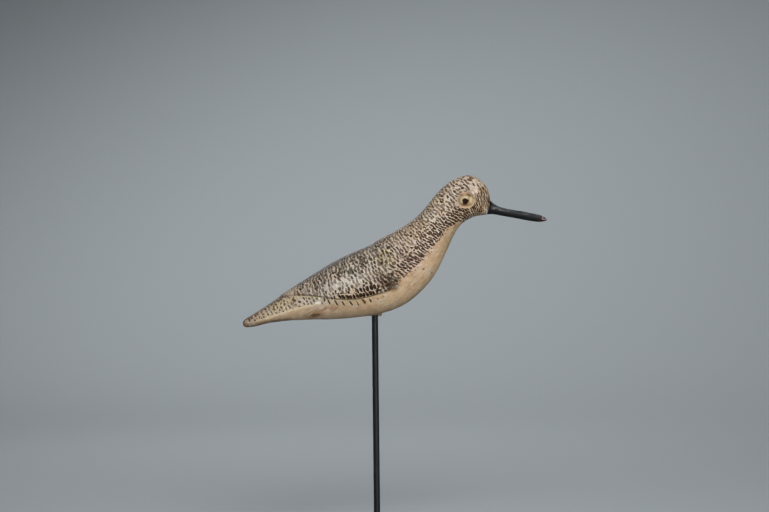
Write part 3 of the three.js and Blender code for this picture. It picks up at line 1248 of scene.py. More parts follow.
@dataclass(frozen=True)
class Eye:
    """A round groove cut into the side of the head, with the eyeball left standing in it, in millimetres."""

    setting: Setting
    place: Place = (89.9, 46.2)
    stretch: float = 1.1
    groove_radius: float = 6.9
    groove_width: float = 1.2
    groove_depth: float = 0.9
    ball_radius: float = 6.0
    ball_ledge: float = 0.5
    ball_sink: float = 0.55
    pupil_radius: float = 3.1
    pupil_offset: Place = (-0.4, -1.2)
    pupil_waves: tuple[tuple[int, float, float], ...] = ((3, 1.0, 0.08), (5, 0.0, 0.05))
    pupil_softness: float = 0.45

    def centre(self) -> Array:
        """The eye's middle as forward and up."""
        hundredth = self.setting.length / MM / 100
        return np.array([(self.place[0] - self.setting.rod_place) * hundredth, self.place[1] * hundredth])

    def radius(self, side_view: Array) -> Array:
        """How far each place is from the eye's middle."""
        offset = side_view - self.centre()
        return np.hypot(offset[:, 0] / self.stretch, offset[:, 1])

    def lift(self, side_view: Array) -> Array:
        """How far the carving stands off the plain head.

        Args:
            side_view: Rows of forward and up, in millimetres.

        Returns:
            The lift, negative in the groove and on the round of the eyeball.
        """
        radius = self.radius(side_view)
        groove = self.groove_depth * hump(radius, self.groove_radius, self.groove_width)
        share = np.clip(radius / self.ball_radius, 0, 1)
        ball = self.ball_sink * (1 - np.sqrt(1 - share**2))
        return -groove - np.where(radius < self.ball_radius + self.ball_ledge, ball, 0)

    def pupil(self, side_view: Array) -> Array:
        """The pupil, painted by hand with an uneven outline.

        Args:
            side_view: Rows of forward and up, in millimetres.

        Returns:
            1 on the pupil and 0 off it.
        """
        offset = side_view - self.centre() - np.array(self.pupil_offset)
        turn = np.arctan2(offset[:, 1], offset[:, 0])
        wavy = 1 + sum(height * np.sin(count * turn + start) for count, start, height in self.pupil_waves)
        beyond = np.hypot(*offset.T) - self.pupil_radius * wavy
        return smooth(beyond, self.pupil_softness, -self.pupil_softness)


@dataclass(frozen=True)
class StickHole:
    """The hole that the rod goes into, with a torn flake standing up in front of it, in millimetres."""

    setting: Setting
    gap: float = 0.3
    around: int = 48
    underside: float = 10.0
    lip: float = 0.35
    lip_radius: float = 4.2
    lip_width: float = 1.6
    flake_height: float = 2.1
    flake_forward: Span = (2.8, 3.3, 6.4, 7.1)
    flake_across: Span = (2.9, 2.1)

    def lift(self, points: Array) -> Array:
        """How far the rim stands off the belly.

        Args:
            points: Rows of X, Y and Z, in metres.

        Returns:
            The lift, in millimetres.
        """
        belly = self.setting.belly
        offset = (points[:, :2] - np.array(belly[:2])) / MM
        under = points[:, 2] < belly.z + self.underside * MM
        lip = self.lip * hump(np.hypot(*offset.T), self.lip_radius, self.lip_width)
        flake = within(offset[:, 0], self.flake_forward) * within(np.abs(offset[:, 1]), self.flake_across)
        return np.where(under, lip + self.flake_height * flake, 0)


@dataclass
class Bird:
    """The painted bird: one carved block with wings, eyes and a stick hole."""

    setting: Setting
    body_width: float = 60
    waist: float = 0.46
    tail: Place = (0, -2.1)
    face: Place = (100, 45)
    around: int = 132
    ring_spacing: float = 1.35
    head_finer: float = 0.35
    head_from: Span = (0.6, 0.75)
    edge_middle: float = -1.0
    finer_within: tuple[tuple[float, float, float], ...] = ((4.5, 10, 9), (2.0, 9, 8))
    finer_groove: float = 2.4
    measured_places: int = 600
    measured_turns: int = 61
    ribs: tuple[Rib, ...] = (
        Rib((0.9, -0.6), (0.9, -3.6), 0.18),
        Rib((3.8, 1.2), (4.2, -3.6), 0.3),
        Rib((9.4, 4.7), (10.6, -2.2), 0.43),
        Rib((15.2, 8.5), (17.8, -1.4), 0.58),
        Rib((22.4, 13.4), (26.7, -1), 0.74),
        Rib((31.1, 19.1), (36.3, -0.9), 0.87),
        Rib((40.3, 24.2), (46.3, -0.2), 0.96),
        Rib((50, 28.4), (56, 1.2), 1),
        Rib((58.8, 32.8), (64.4, 4.3), 0.98),
        Rib((65.6, 36.6), (71.6, 9.7), 0.91),
        Rib((70.8, 40.3), (77.7, 16.9), 0.8),
        Rib((74.5, 44.3), (81.7, 24.7), 0.67),
        Rib((77.7, 48.3), (84.9, 31.6), 0.57),
        Rib((81.5, 52), (87.7, 36.1), 0.53),
        Rib((85.9, 54.9), (90.9, 38.5), 0.53),
        Rib((90.9, 56.3), (94.1, 39.8), 0.53),
        Rib((95.3, 55), (96.9, 40.3), 0.47),
        Rib((98.7, 51.2), (98.8, 40.7), 0.32),
    )
    stroke_lean: tuple[Place, ...] = (
        (0.1, 0.3), (0.2, 0.2), (0.28, 0.14), (0.34, 0.14), (0.4, 0.24), (0.46, 0.42), (0.52, 0.62),
        (0.57, 0.62), (0.62, 0.52), (0.67, 0.45), (0.74, 0.44), (0.8, 0.4), (0.84, 0.34), (0.88, 0.14),
        (0.95, 0.02),
    )
    lean_middle: float = 20.0
    flats_size: Place = (26, 8)
    flats_reach: float = 0.7
    flats_depth: float = 0.16
    far_side_shift: float = 3.0
    rolling_size: float = 0.9
    rolling_depth: float = 0.15
    wings: Wings = field(init=False)
    eye: Eye = field(init=False)
    hole: StickHole = field(init=False)

    def __post_init__(self) -> None:
        """Makes what is carved into the block."""
        self.wings = Wings(self.setting)
        self.eye = Eye(self.setting)
        self.hole = StickHole(self.setting)

    def hull(self) -> Hull:
        """The plain block.

        Returns:
            Its form, in metres in the row frame.
        """
        half = self.body_width * MM / 2
        placed = self.setting.placed
        ribs = tuple(Rib(placed(rib.back), placed(rib.belly), rib.half * half) for rib in self.ribs)
        return Hull(placed(self.tail), ribs, placed(self.face), self.waist)

    def build(self, bill: "Bill") -> bpy.types.Object:
        """Carves the block and cuts the holes for the bill and the rod.

        Args:
            bill: The bill, which gives the shape of its socket.

        Returns:
            The bird.
        """
        hull = self.hull()
        made = hull.grid(hull.even_places(self.spacing), self.around)
        self.refine(hull, made)
        place, angle = hull.spots(made)
        plain = hull.points(place, angle)
        side_view = self.setting.side_view(plain)
        inside = self.wings.inside(side_view)
        lift = self.wings.lift(place, angle, side_view, inside) + self.flats(hull, place, angle)
        lift += self.eye.lift(side_view) + self.hole.lift(plain)
        piece = write_mesh("bird_carved", made, plain + hull.normals(place, angle) * (lift * MM)[:, None])
        self.mark(piece, hull, place, angle, side_view, inside)
        cut(piece, self.rod_hole())
        cut(piece, bill.socket())
        return piece

    def spacing(self, place: Array) -> Array:
        """How far apart the mesh's rings are, in metres, closer at the head."""
        return self.ring_spacing * MM * (1 - self.head_finer * smooth(place, *self.head_from))

    def refine(self, hull: Hull, made: bmesh.types.BMesh) -> None:
        """Makes the mesh finer along the wings' edges, round the eyes and at the stick hole.

        Args:
            hull: The plain block.
            made: The mesh to change.
        """
        belly = self.setting.belly
        for from_edge, from_eye, from_hole in self.finer_within:
            points = hull.points(*hull.spots(made))
            side_view = self.setting.side_view(points)
            near_edge = np.abs(self.wings.inside(side_view) - self.edge_middle) < from_edge
            near_eye = self.eye.radius(side_view) < from_eye
            near_hole = np.hypot(*(points[:, :2] - np.array(belly[:2])).T) < from_hole * MM
            near_hole &= points[:, 2] < belly.z + self.hole.underside * MM
            finer(made, near_edge | near_eye | near_hole)
        side_view = self.setting.side_view(hull.points(*hull.spots(made)))
        finer(made, np.abs(self.eye.radius(side_view) - self.eye.groove_radius) < self.finer_groove)

    def flats(self, hull: Hull, place: Array, angle: Array) -> Array:
        """The shallow flats that the carver's knife left, in millimetres below the round.

        Args:
            hull: The plain block.
            place: Each vertex's place.
            angle: Each vertex's angle.

        Returns:
            The lift, negative in the flats, with a slow rolling of the surface added.
        """
        along, girth = self.measured(hull, place, angle)
        side = np.sign(angle) * self.far_side_shift
        spots = np.column_stack([along / self.flats_size[0], girth / self.flats_size[1], side])
        nearest = np.array([noise.voronoi(Vector(spot))[0][0] for spot in spots])
        rolling = np.array([noise.noise(Vector(spot * self.rolling_size)) for spot in spots])
        flats = 1 - np.clip(nearest / self.flats_reach, 0, 1) ** 2
        return -self.flats_depth * flats + self.rolling_depth * rolling

    def measured(self, hull: Hull, place: Array, angle: Array) -> tuple[Array, Array]:
        """How far each vertex is along the bird, and how far down its side from the ridge of the back.

        Args:
            hull: The plain block.
            place: Each vertex's place.
            angle: Each vertex's angle.

        Returns:
            Both in millimetres.
        """
        tries = np.linspace(0, 1, self.measured_places)
        back, belly, _ = hull.section(tries)
        middle = (back + belly) / 2
        travelled = np.concatenate([[0], np.cumsum(np.linalg.norm(np.diff(middle, axis=0), axis=1))]) / MM
        turns = np.linspace(0, math.pi, self.measured_turns)
        rings = np.array([hull.points(tries, np.full(len(tries), turn)) for turn in turns])
        steps = np.linalg.norm(np.diff(rings, axis=0), axis=2)
        girths = np.vstack([np.zeros(len(tries)), np.cumsum(steps, axis=0)]) / MM
        column = place * (len(tries) - 1)
        level = np.abs(angle) / math.pi * (len(turns) - 1)
        left = np.minimum(column.astype(int), len(tries) - 2)
        above = np.minimum(level.astype(int), len(turns) - 2)
        across, down = column - left, level - above
        upper = girths[above, left] * (1 - across) + girths[above, left + 1] * across
        lower = girths[above + 1, left] * (1 - across) + girths[above + 1, left + 1] * across
        return np.interp(place, tries, travelled), upper * (1 - down) + lower * down

    def rod_hole(self) -> bpy.types.Object:
        """The shape of the rod's hole.

        Returns:
            A closed round bar, which the bird is cut with.
        """
        low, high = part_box("rod")
        gap, into = self.hole.gap * MM, self.setting.rod_in_bird
        radius = (high.x - low.x) / 2 + gap
        belly = self.setting.belly
        sizes = {"segments": self.hole.around, "radius1": radius, "radius2": radius, "depth": 2 * into}
        made = bmesh.new()
        bmesh.ops.create_cone(made, cap_ends=True, **sizes)
        bmesh.ops.translate(made, verts=made.verts, vec=(belly.x, belly.y, high.z - into + gap))
        return write_mesh("rod_hole", made, [vertex.co.copy() for vertex in made.verts])

    def mark(
        self, piece: bpy.types.Object, hull: Hull, place: Array, angle: Array, side_view: Array, inside: Array
    ) -> None:
        """Stores at each vertex what its paint needs.

        Args:
            piece: The carved bird.
            hull: The plain block.
            place: Each vertex's place.
            angle: Each vertex's angle.
            side_view: Each vertex as forward and up, in millimetres.
            inside: How far inside the wing's outline, in millimetres.
        """
        along, girth = self.measured(hull, place, angle)
        back, belly, _ = hull.section(place)
        seen = hull.points(place, angle)[:, ::2]
        drop, rise = (np.linalg.norm(seen - line, axis=1) / MM for line in (back, belly))
        scheme = PaintScheme(self.wings, self.eye)
        marks = scheme.marks(side_view, inside, angle, drop, rise)
        marks[Mark.ALONG], marks[Mark.GIRTH], marks[Mark.WING] = along, girth, inside
        lean = np.interp(place, *zip(*self.stroke_lean))
        marks[Mark.SLANT] = along - lean * (drop - self.lean_middle)
        for mark, values in marks.items():
            carry(piece, mark, values)

    def dress(self, piece: bpy.types.Object) -> None:
        """Paints the bird and sets it on the body in place of the imported part."""
        hand_in(piece, PaintedWood("old_bird_paint", self.setting.belly), "bird")


@dataclass(frozen=True)
class PaintScheme:
    """Which colours and strokes go where on the bird, in millimetres forward of the rod and above the belly.

    A list named after a kind of stroke says where it is and how much of it. Where layers overlap, the
    later one lies on top.
    """

    wings: Wings
    eye: Eye
    lower_bound: tuple[Place, ...] = (
        (-140, -8.4), (-132, -7), (-113, -1.2), (-95, 4.8), (-78.9, 9.9), (-56.8, 14), (-43.8, 18),
        (-22.8, 17.9), (-8.8, 19.6), (3.2, 22.5), (15.3, 26.8), (21.9, 32.8), (25.4, 36.2), (30.9, 40.2),
        (35, 45.1), (40, 49.1), (45.6, 53.5), (50.1, 58), (55.2, 65.4), (60.8, 70.8), (63.8, 74.8),
        (67.4, 79.3), (69.9, 81.8), (74.4, 87.2), (79, 89.7), (83, 92.1), (87, 93.3), (101, 94), (130, 94),
    )
    upper_bound: tuple[Place, ...] = ((130, 160), (-140, 160))
    far_shift: Place = (5.0, -1.5)
    wave_size: float = 5.0
    wave_height: float = 2.6
    wave_seed: int = 5
    painted: Parts = (Zone(edge=(-0.6, 0.8)), Zone(wing=(0, 0.8)))
    strokes_off_eye: Zone = Zone(eye=(8.0, 8.8))
    paint_off_eye: Zone = Zone(eye=(7.6, 8.4))
    neck: Parts = (
        Patch(33, 50, 13, 8, 45, 0.9),
        Patch(45, 62, 17, 10, 48),
        Patch(57, 79, 19, 12, 50),
        Patch(71, 92, 16, 10, 46),
        Patch(86, 102, 14, 9, 28),
        Patch(98, 106, 12, 8, 8),
    )
    neck_edge: Span = (0.25, 0.75)
    neck_thins: float = 0.6
    tail: Parts = (Patch(-104, 6, 34, 16, 22), Patch(-70, 15, 18, 6, 14))
    tail_below_wing: Zone = Zone(wing=(-0.4, -1.4))
    face: Parts = (Patch(108, 117, 7, 15, -12),)
    bare: Parts = (
        Patch(100.4, 125.9, 5.5, 2.8, -38),
        Patch(98.3, 120.5, 1.8, 4.5, 0),
        Patch(111.2, 103.8, 1.1, 3.4, 8, 0.9),
        Patch(57, 66, 4, 3, 40, 0.7),
        Patch(-55.8, 14.6, 3.6, 2, 10),
        Patch(-133, -7, 5, 5),
    )
    pale: Parts = (
        Patch(-29.6, 34, 26, 6, 14, 0.12),
        Patch(58, 98, 9, 6, 50, 0.2),
        Patch(77, 119, 7, 5, 40, 0.25),
        Patch(-86, 24, 9, 7, 30, 0.6),
    )
    dark: Parts = (
        Patch(-60, 34, 20, 8, 30, 0.45),
        Patch(-20, 52, 34, 9, 28, 0.45),
        Patch(14, 34, 9, 13, 60, 1.0),
        Patch(6, 62, 16, 7, 30, 0.4),
        Patch(102, 106, 10, 5, 10, 0.7),
        Patch(34, 56, 18, 14, 45, 0.4),
    )
    crown: Parts = (Patch(92, 131, 17, 8, -8),)
    crown_below_ridge: Zone = Zone(drop=(0.1, 0.7))
    crown_share: float = 0.84
    ridge: Zone = Zone(0.9, drop=(6.5, 3.0), forward=(-88, -62, 48, 72))
    ridge_thins: Zone = Zone(0.8, forward=(-26, 28))
    fine_share: float = 0.98
    bold: Parts = (Patch(-18, 21, 23, 5, 3, 1.0), Patch(-7, 27, 14, 7, 8, 1.0))
    bold_band: Zone = Zone(wing=(0.4, 1.0, 12, 13.5))
    bold_clears: float = 0.8
    ticks: Parts = (Patch(-24, 16, 27, 8, 3, 0.97),)
    ticks_band: Zone = Zone(wing=(-8.4, -7.6, -1.4, -0.8))
    dots: Zone = Zone(0.55, edge=(-3.8, -2.4, 0, 1.4), forward=(12, 22))
    forehead: Zone = Zone(forward=(101, 107), turned=(0.3, 0.18))
    forehead_dots: float = 0.95
    stains: Parts = (
        Patch(-60, 3, 14, 5, 10, 0.9),
        Patch(-42, 9.7, 8, 3, 6, 0.8),
        Patch(-5, 7.4, 12, 3.5, 4, 0.3),
        Patch(-78, 4, 16, 5, 5, 0.4),
        Patch(36, 42, 7, 5, 40, 0.5),
    )
    bare_stain: float = 0.42
    # painted shade in the cuts: the width, strength and place of the darkening along the wing's edge and in
    # the eye's groove
    groove_shade_width: float = 0.6
    wing_groove_shade: float = 0.5
    wing_groove_shade_place: float = 0.1
    eye_groove_shade: float = 0.3
    cream: Colour = srgb(184, 157, 124)
    white: Colour = srgb(192, 184, 172)
    olive: Colour = srgb(162, 148, 112)
    face_brown: Colour = srgb(136, 112, 84)
    slate_ground: Colour = srgb(68, 56, 48)
    ground_layers: Layers = (
        (srgb(173, 154, 132), painted),
        (srgb(166, 157, 144), (Patch(-25, 42, 60, 24, 26, 0.9),)),
        (white, (Patch(-29.6, 34, 24, 5.5, 14, 0.52), Patch(-44.7, 29.5, 14, 4, 8, 0.4))),
        (
            olive,
            (Patch(12, 57, 9, 9, 30, 0.7), Patch(58, 112, 13, 5, 52, 0.45), Patch(-92, 13, 16, 5, 28, 0.6)),
        ),
        (srgb(204, 190, 140), (Patch(13.7, 64.9, 5, 1.5, 0, 0.55), Patch(6, 58, 3, 6, 20, 0.3))),
        (srgb(172, 144, 132), (Patch(34, 56, 15, 12, 45, 0.3), Patch(-38.6, 38.9, 5, 3.5, 10, 0.6))),
        (
            srgb(190, 173, 159),
            (
                Patch(88, 131, 15, 8, -5, 0.65),
                Patch(62, 108, 18, 7, 50, 0.5),
                Patch(58, 84, 30, 9, 50, 0.55),
                Patch(38, 54, 15, 10, 45, 0.5),
                Patch(100.4, 125.9, 6.5, 3.4, -38, 1),
                Patch(98.3, 120, 2.4, 4.5),
            ),
        ),
        (face_brown, (Patch(108, 115, 9, 15, -12, 0.85),)),
        (srgb(168, 142, 106), (Patch(97, 105, 15, 6, 15, 0.8), Patch(77, 88, 14, 6, 46, 0.6))),
        (
            white,
            (
                Patch(58, 98, 8, 5, 52, 0.45),
                Patch(77.3, 119.2, 6.5, 4.5, 40, 0.55),
                Patch(111.2, 103.8, 0.9, 3.2, 8, 0.75),
            ),
        ),
        (srgb(168, 116, 90), (Patch(104.7, 106, 5, 3.5, 0, 0.5), Patch(110.5, 112, 3, 5, -10, 0.35))),
        (slate_ground, (Patch(15, 34, 8, 12, 62, 0.88), Patch(-57, 33, 8, 5, 30, 0.3))),
        (srgb(128, 108, 96), (Patch(6.4, 38, 5.0, 11, 8, 0.75),)),
        (
            srgb(160, 122, 84),
            (
                Patch(-42, 9.7, 7, 2.5, 6, 0.4),
                Patch(36.5, 42, 4, 3, 40, 0.5),
                Patch(-5, 7.4, 12, 3.5, 4, 0.3),
            ),
        ),
        # painted shade in the cove in front of the wing's shoulder
        (srgb(134, 112, 78), (Patch(24.4, 35, 2.6, 6.5, -28, 0.6), Patch(22, 29, 6, 2.2, 32, 0.45))),
        (srgb(156, 138, 102), (Patch(76, 74, 11, 9, 58, 0.5),)),
        (srgb(166, 138, 102), (Patch(-18, 22, 25, 6, 3, 0.5),)),
        (olive, (Zone(0.55, wing=(-3.4, -2.2, -0.8, -0.1), forward=(6, -20)),)),
        (srgb(212, 196, 166), (Zone(0.75, edge=(-2.6, -1.4, -0.4, 0.8), forward=(-126, -118, -66, -52)),)),
        # darker brown along the belly's underside, the tail's lower rim and tip, and the tail's top edge:
        # partly grime, partly painted shade at the rims
        (
            srgb(92, 68, 46),
            (
                Zone(0.6, turned=(0.82, 0.94), forward=(64, 44)),
                Zone(0.9, rise=(4.2, 1.0), forward=(-70, -92)),
                Zone(0.75, rise=(7.0, 3.0), forward=(-106, -118)),
                Zone(0.42, drop=(9.0, 1.5), forward=(-96, -112)),
            ),
        ),
    )
    slate: Zone = Zone(drop=(5.2, 1.4), forward=(72, 48))
    slate_thins: tuple[Zone, Zone] = (Zone(0.75, forward=(-28, 32)), Zone(0.4, forward=(-60, -84)))
    eye_layers: Layers = (
        (srgb(160, 132, 102), (Zone(eye=(8.5, 7.7)),)),
        (srgb(148, 126, 92), (Zone(eye=(6.6, 5.6)),)),
        # painted shade: olive in the eye's groove, under its upper rim and at its left
        (srgb(112, 98, 60), (Patch(3.6, 4.6, 3.6, 1.3, -38, 0.75), Patch(-5.6, -0.4, 1.3, 3.4, 0, 0.6))),
        (srgb(160, 142, 106), (Patch(1, 2.2, 3.8, 2.0, -10), Patch(-3.4, 0.5, 1.6, 2.8, 0, 0.7))),
        # painted shadow under the pupil
        (srgb(104, 74, 48), (Patch(-1, -3.8, 3.0, 1.6, 10, 0.7),)),
        # painted shade along the top and left of the eye's ring
        (face_brown, (Patch(-1, 7.5, 6.5, 1.1, 4, 0.5), Patch(-7.7, 1, 0.9, 4, 0, 0.4))),
    )
    umber: Colour = srgb(60, 39, 18)
    black: Colour = srgb(28, 18, 9)
    ink_layers: Layers = (
        (srgb(48, 40, 30), (Patch(-30, 45, 66, 24, 26, 1.0), Patch(77, 119, 8, 6, 40, 0.8))),
        (srgb(50, 27, 22), (Patch(40, 62, 26, 18, 42, 0.75), Patch(-58, 33, 14, 8, 30, 0.7))),
        (
            srgb(82, 77, 73),
            (
                Patch(-29.6, 34, 25, 6, 14, 0.8),
                Patch(-44.7, 29.5, 16, 5, 8, 0.6),
                Patch(58, 98, 8, 6, 50, 0.4),
            ),
        ),
        (srgb(84, 66, 46), (Patch(-104, 8, 36, 18, 26, 0.9),)),
        (
            black,
            (
                Patch(-15, 25, 30, 8, 6, 1.0),
                Patch(66, 82, 30, 8, 48, 0.9),
                Patch(94, 104, 16, 8, 15, 0.9),
                Patch(109, 120, 7, 14, -10, 0.5),
            ),
        ),
        (black, (Patch(15, 34, 9, 12, 60, 0.8), Patch(-18, 17, 34, 5, 3, 0.7))),
        (srgb(92, 52, 38), (Zone(edge=(2.5, 0), forward=(10, 20)),)),
    )

    def marks(
        self, side_view: Array, inside: Array, angle: Array, drop: Array, rise: Array
    ) -> dict[Mark, Array]:
        """Every colour and amount that the paint reads.

        Args:
            side_view: Each vertex as forward and up, in millimetres.
            inside: How far inside the wing's outline, in millimetres.
            angle: The angle round the bird from its back, above 0 on the side at -Y.
            drop: How far down from the back's line, as seen from the side, in millimetres.
            rise: How far up from the belly's line, as seen from the side, in millimetres.

        Returns:
            One array for each mark that this scheme gives.
        """
        noise.seed_set(self.wave_seed)
        waves = np.array([noise.noise_vector(Vector((*spot, 0)) / self.wave_size)[:2] for spot in side_view])
        shifted = side_view + (angle < 0)[:, None] * np.array(self.far_shift) + waves * self.wave_height
        turned = np.abs(angle) / math.pi
        edge = signed_distance(side_view, np.array([*self.lower_bound, *self.upper_bound], float))
        radius = self.eye.radius(side_view)
        survey = Survey(shifted, shifted[:, 0], drop, rise, turned, edge, inside, radius)
        painted = cover(self.painted, survey)
        marks = self.amounts(survey)
        for mark in marks:
            marks[mark] = marks[mark] * painted * self.strokes_off_eye.weight(survey)
        marks[Mark.BOLD] = cover(self.bold, survey) * self.bold_band.weight(survey)
        ticks = cover(self.ticks, replace(survey, places=side_view))
        marks[Mark.TICKS] = ticks * self.ticks_band.weight(survey)
        marks[Mark.FINE] = marks[Mark.FINE] * (1 - self.bold_clears * marks[Mark.BOLD])
        forehead = self.forehead.weight(survey)
        for mark in (Mark.FINE, Mark.DENSE, Mark.FACE):
            marks[mark] = marks[mark] * (1 - forehead)
        marks[Mark.DOTS] = np.maximum(self.dots.weight(survey), self.forehead_dots * forehead)
        marks[Mark.STAIN] = np.maximum(cover(self.stains, survey), self.bare_stain * (1 - painted))
        marks[Mark.PAINTED] = painted * self.paint_off_eye.weight(survey)
        marks[Mark.PUPIL] = self.eye.pupil(side_view)
        marks[Mark.GROOVE_SHADE] = self.groove_shade(survey)
        marks[Mark.GROUND] = self.ground(survey, painted, side_view)
        marks[Mark.INK] = coat(np.tile(self.umber, (len(side_view), 1)), self.ink_layers, survey)
        return marks

    def amounts(self, survey: Survey) -> dict[Mark, Array]:
        """The share of each kind of stroke that is there, before the paint's edge and the eye are left clear.

        Args:
            survey: Where the vertices are.

        Returns:
            One array for each kind that is laid over whole areas.
        """
        areas = (self.neck, self.tail, self.face, self.bare, self.pale, self.dark, self.crown)
        neck, tail, face, bare, pale, dark, crown = (cover(area, survey) for area in areas)
        neck = smooth(neck, *self.neck_edge)
        tail = tail * self.tail_below_wing.weight(survey)
        crown = crown * (1 - bare) * self.crown_below_ridge.weight(survey)
        ridge = self.ridge.weight(survey) * (1 - self.ridge_thins.weight(survey))
        dense = np.maximum.reduce([dark, ridge, self.crown_share * crown])
        clear = (1 - neck) * (1 - tail) * (1 - face) * (1 - bare)
        return {
            Mark.FINE: clear * (self.fine_share - pale) * (1 - crown),
            Mark.DENSE: dense * (1 - bare) * (1 - self.neck_thins * neck),
            Mark.NECK: neck * (1 - bare),
            Mark.TAIL: tail * (1 - bare) * (1 - neck),
            Mark.FACE: face * (1 - neck) * (1 - bare),
        }

    def groove_shade(self, survey: Survey) -> Array:
        """Where painted shade darkens the cuts, along the wing's edge and round the eye.

        Args:
            survey: Where the vertices are.

        Returns:
            How much painted shade there is at each.
        """
        at_wing = hump(survey.wing, self.wing_groove_shade_place, self.groove_shade_width) * self.wing_groove_shade
        at_eye = hump(survey.eye, self.eye.groove_radius, self.groove_shade_width) * self.eye_groove_shade
        return np.maximum(at_wing, at_eye)

    def ground(self, survey: Survey, painted: Array, side_view: Array) -> Array:
        """The pale ground's colour with its painted shade, slate along the ridge of the back, and the eye's
        colours.

        Args:
            survey: Where the vertices are.
            painted: How much of the upper part's paint is at each.
            side_view: Their places without the paint's waves.

        Returns:
            One colour for each vertex.
        """
        colour = coat(np.tile(self.cream, (len(side_view), 1)), self.ground_layers, survey)
        slate = painted * self.slate.weight(survey)
        for zone in self.slate_thins:
            slate = slate * (1 - zone.weight(survey))
        colour = over(colour, slate, self.slate_ground)
        return coat(colour, self.eye_layers, replace(survey, places=side_view - self.eye.centre()))


@dataclass
class Bill:
    """The bill: a slim tapered piece let into the face. Lengths are in millimetres.

    A section is how far along, how far over and under the middle line, and the half width, and one of the
    root is how far in and what share of the section at the face. They are shares of length, depth, width
    and root. A mark is where it lies along the bill and up it.
    """

    setting: Setting
    length: float = 59.5
    depth: float = 8.0
    width: float = 7.4
    droop: float = 11.0
    root: float = 7.0
    gap: float = 0.3
    place: Place = (99.2, 42.6)
    around: int = 64
    ring_spacing: float = 0.7
    socket_around: int = 40
    socket_spacing: float = 1.2
    wear_size: float = 0.35
    wear_depth: float = 0.12
    sections: tuple[tuple[float, float, float, float], ...] = (
        (0, 1.14, 0.65, 0.8),
        (0.03, 0.98, 0.6, 0.74),
        (0.08, 0.78, 0.53, 0.64),
        (0.18, 0.55, 0.5, 0.54),
        (0.34, 0.46, 0.5, 0.5),
        (0.58, 0.51, 0.5, 0.49),
        (0.78, 0.47, 0.49, 0.47),
        (0.88, 0.44, 0.41, 0.41),
        (0.96, 0.27, 0.22, 0.26),
    )
    root_sections: tuple[tuple[float, float], ...] = ((0.9, 0.62), (0.5, 0.74))
    marks: tuple[tuple[Mark, Span, Span], ...] = (
        # the ridge's band: worn paint and a painted highlight along the top
        (Mark.BILL_RIDGE_WEAR_AND_HIGHLIGHT, (0.02, 0.1, 0.94, 1.0), (0.05, 0.3)),
        (Mark.BILL_WEAR, (0.0, 0.05, 0.3, 0.46), (-0.02, 0.14)),
        (Mark.BILL_CHIPS, (0.85, 0.92, 0.98, 1.0), (-0.14, -0.04)),
        (Mark.BILL_UNDER, (0.8, 0.86, 0.98, 1.0), (-0.08, -0.2)),
    )

    def hull(self, grow: float) -> Hull:
        """The bill along its own X, in millimetres.

        Args:
            grow: How much larger than the bill.

        Returns:
            The form.
        """

        def rib(along: float, over: float, under: float, half: float, share: float = 1.0) -> Rib:
            """One rib of the bill.

            Args:
                along: How far along, in millimetres.
                over: How far over the middle line, as a share of the depth.
                under: How far under it.
                half: The half width, as a share of the width.
                share: How large the rib is.

            Returns:
                The rib.
            """
            return Rib(
                (along, share * over * self.depth + grow),
                (along, -share * under * self.depth - grow),
                share * half * self.width + grow,
            )

        face = self.sections[0][1:]
        rear = [rib(-into * self.root - grow, *face, share) for into, share in self.root_sections]
        shown = [rib(along * self.length, *rest) for along, *rest in self.sections]
        return Hull((-self.root - grow, 0), (*rear, *shown), (self.length + grow, 0), 0.5)

    def in_place(self, points: Array) -> Array:
        """Points turned down and set at the face.

        Args:
            points: Rows of X, Y and Z along the bill, in millimetres.

        Returns:
            The same in the row frame, in metres.
        """
        turn = math.radians(self.droop)
        cosine, sine = math.cos(turn), math.sin(turn)
        x, z = self.setting.placed(self.place)
        forward = points[:, 0] * cosine + points[:, 2] * sine
        up = points[:, 2] * cosine - points[:, 0] * sine
        return np.column_stack([x + forward * MM, points[:, 1] * MM, z + up * MM])

    def shape(self, name: str, grow: float, spacing: float, around: int) -> tuple[bpy.types.Object, Array]:
        """The bill's mesh.

        Args:
            name: The mesh's name.
            grow: How much larger than the bill, in millimetres.
            spacing: How far apart its rings are.
            around: How many vertices a ring has.

        Returns:
            The object, and its vertices along the bill in millimetres.
        """
        hull = self.hull(grow)
        made = hull.grid(hull.even_places(lambda place: np.full(len(place), spacing)), around)
        place, angle = hull.spots(made)
        plain = hull.points(place, angle)
        worn = np.array([noise.noise(Vector(point * self.wear_size)) for point in plain])
        own = plain + hull.normals(place, angle) * (worn * self.wear_depth * (grow == 0))[:, None]
        return write_mesh(name, made, self.in_place(own)), own

    def build(self) -> bpy.types.Object:
        """Makes the bill, which carries where its ridge is greyed by wear and a painted highlight, and where
        it is rubbed and chipped.

        Returns:
            The bill.
        """
        piece, own = self.shape("bill_painted", 0, self.ring_spacing, self.around)
        along, up = own[:, 0] / self.length, own[:, 2] / self.depth
        for mark, lengthwise, upward in self.marks:
            carry(piece, mark, within(along, lengthwise) * within(up, upward))
        return piece

    def socket(self) -> bpy.types.Object:
        """The shape of the hole that the bill is let into."""
        return self.shape("bill_socket", self.gap, self.socket_spacing, self.socket_around)[0]

    def dress(self, piece: bpy.types.Object) -> None:
        """Paints the bill and sets it on the body in place of the imported part."""
        hand_in(piece, BillPaint("black_bill_paint"), "bill")


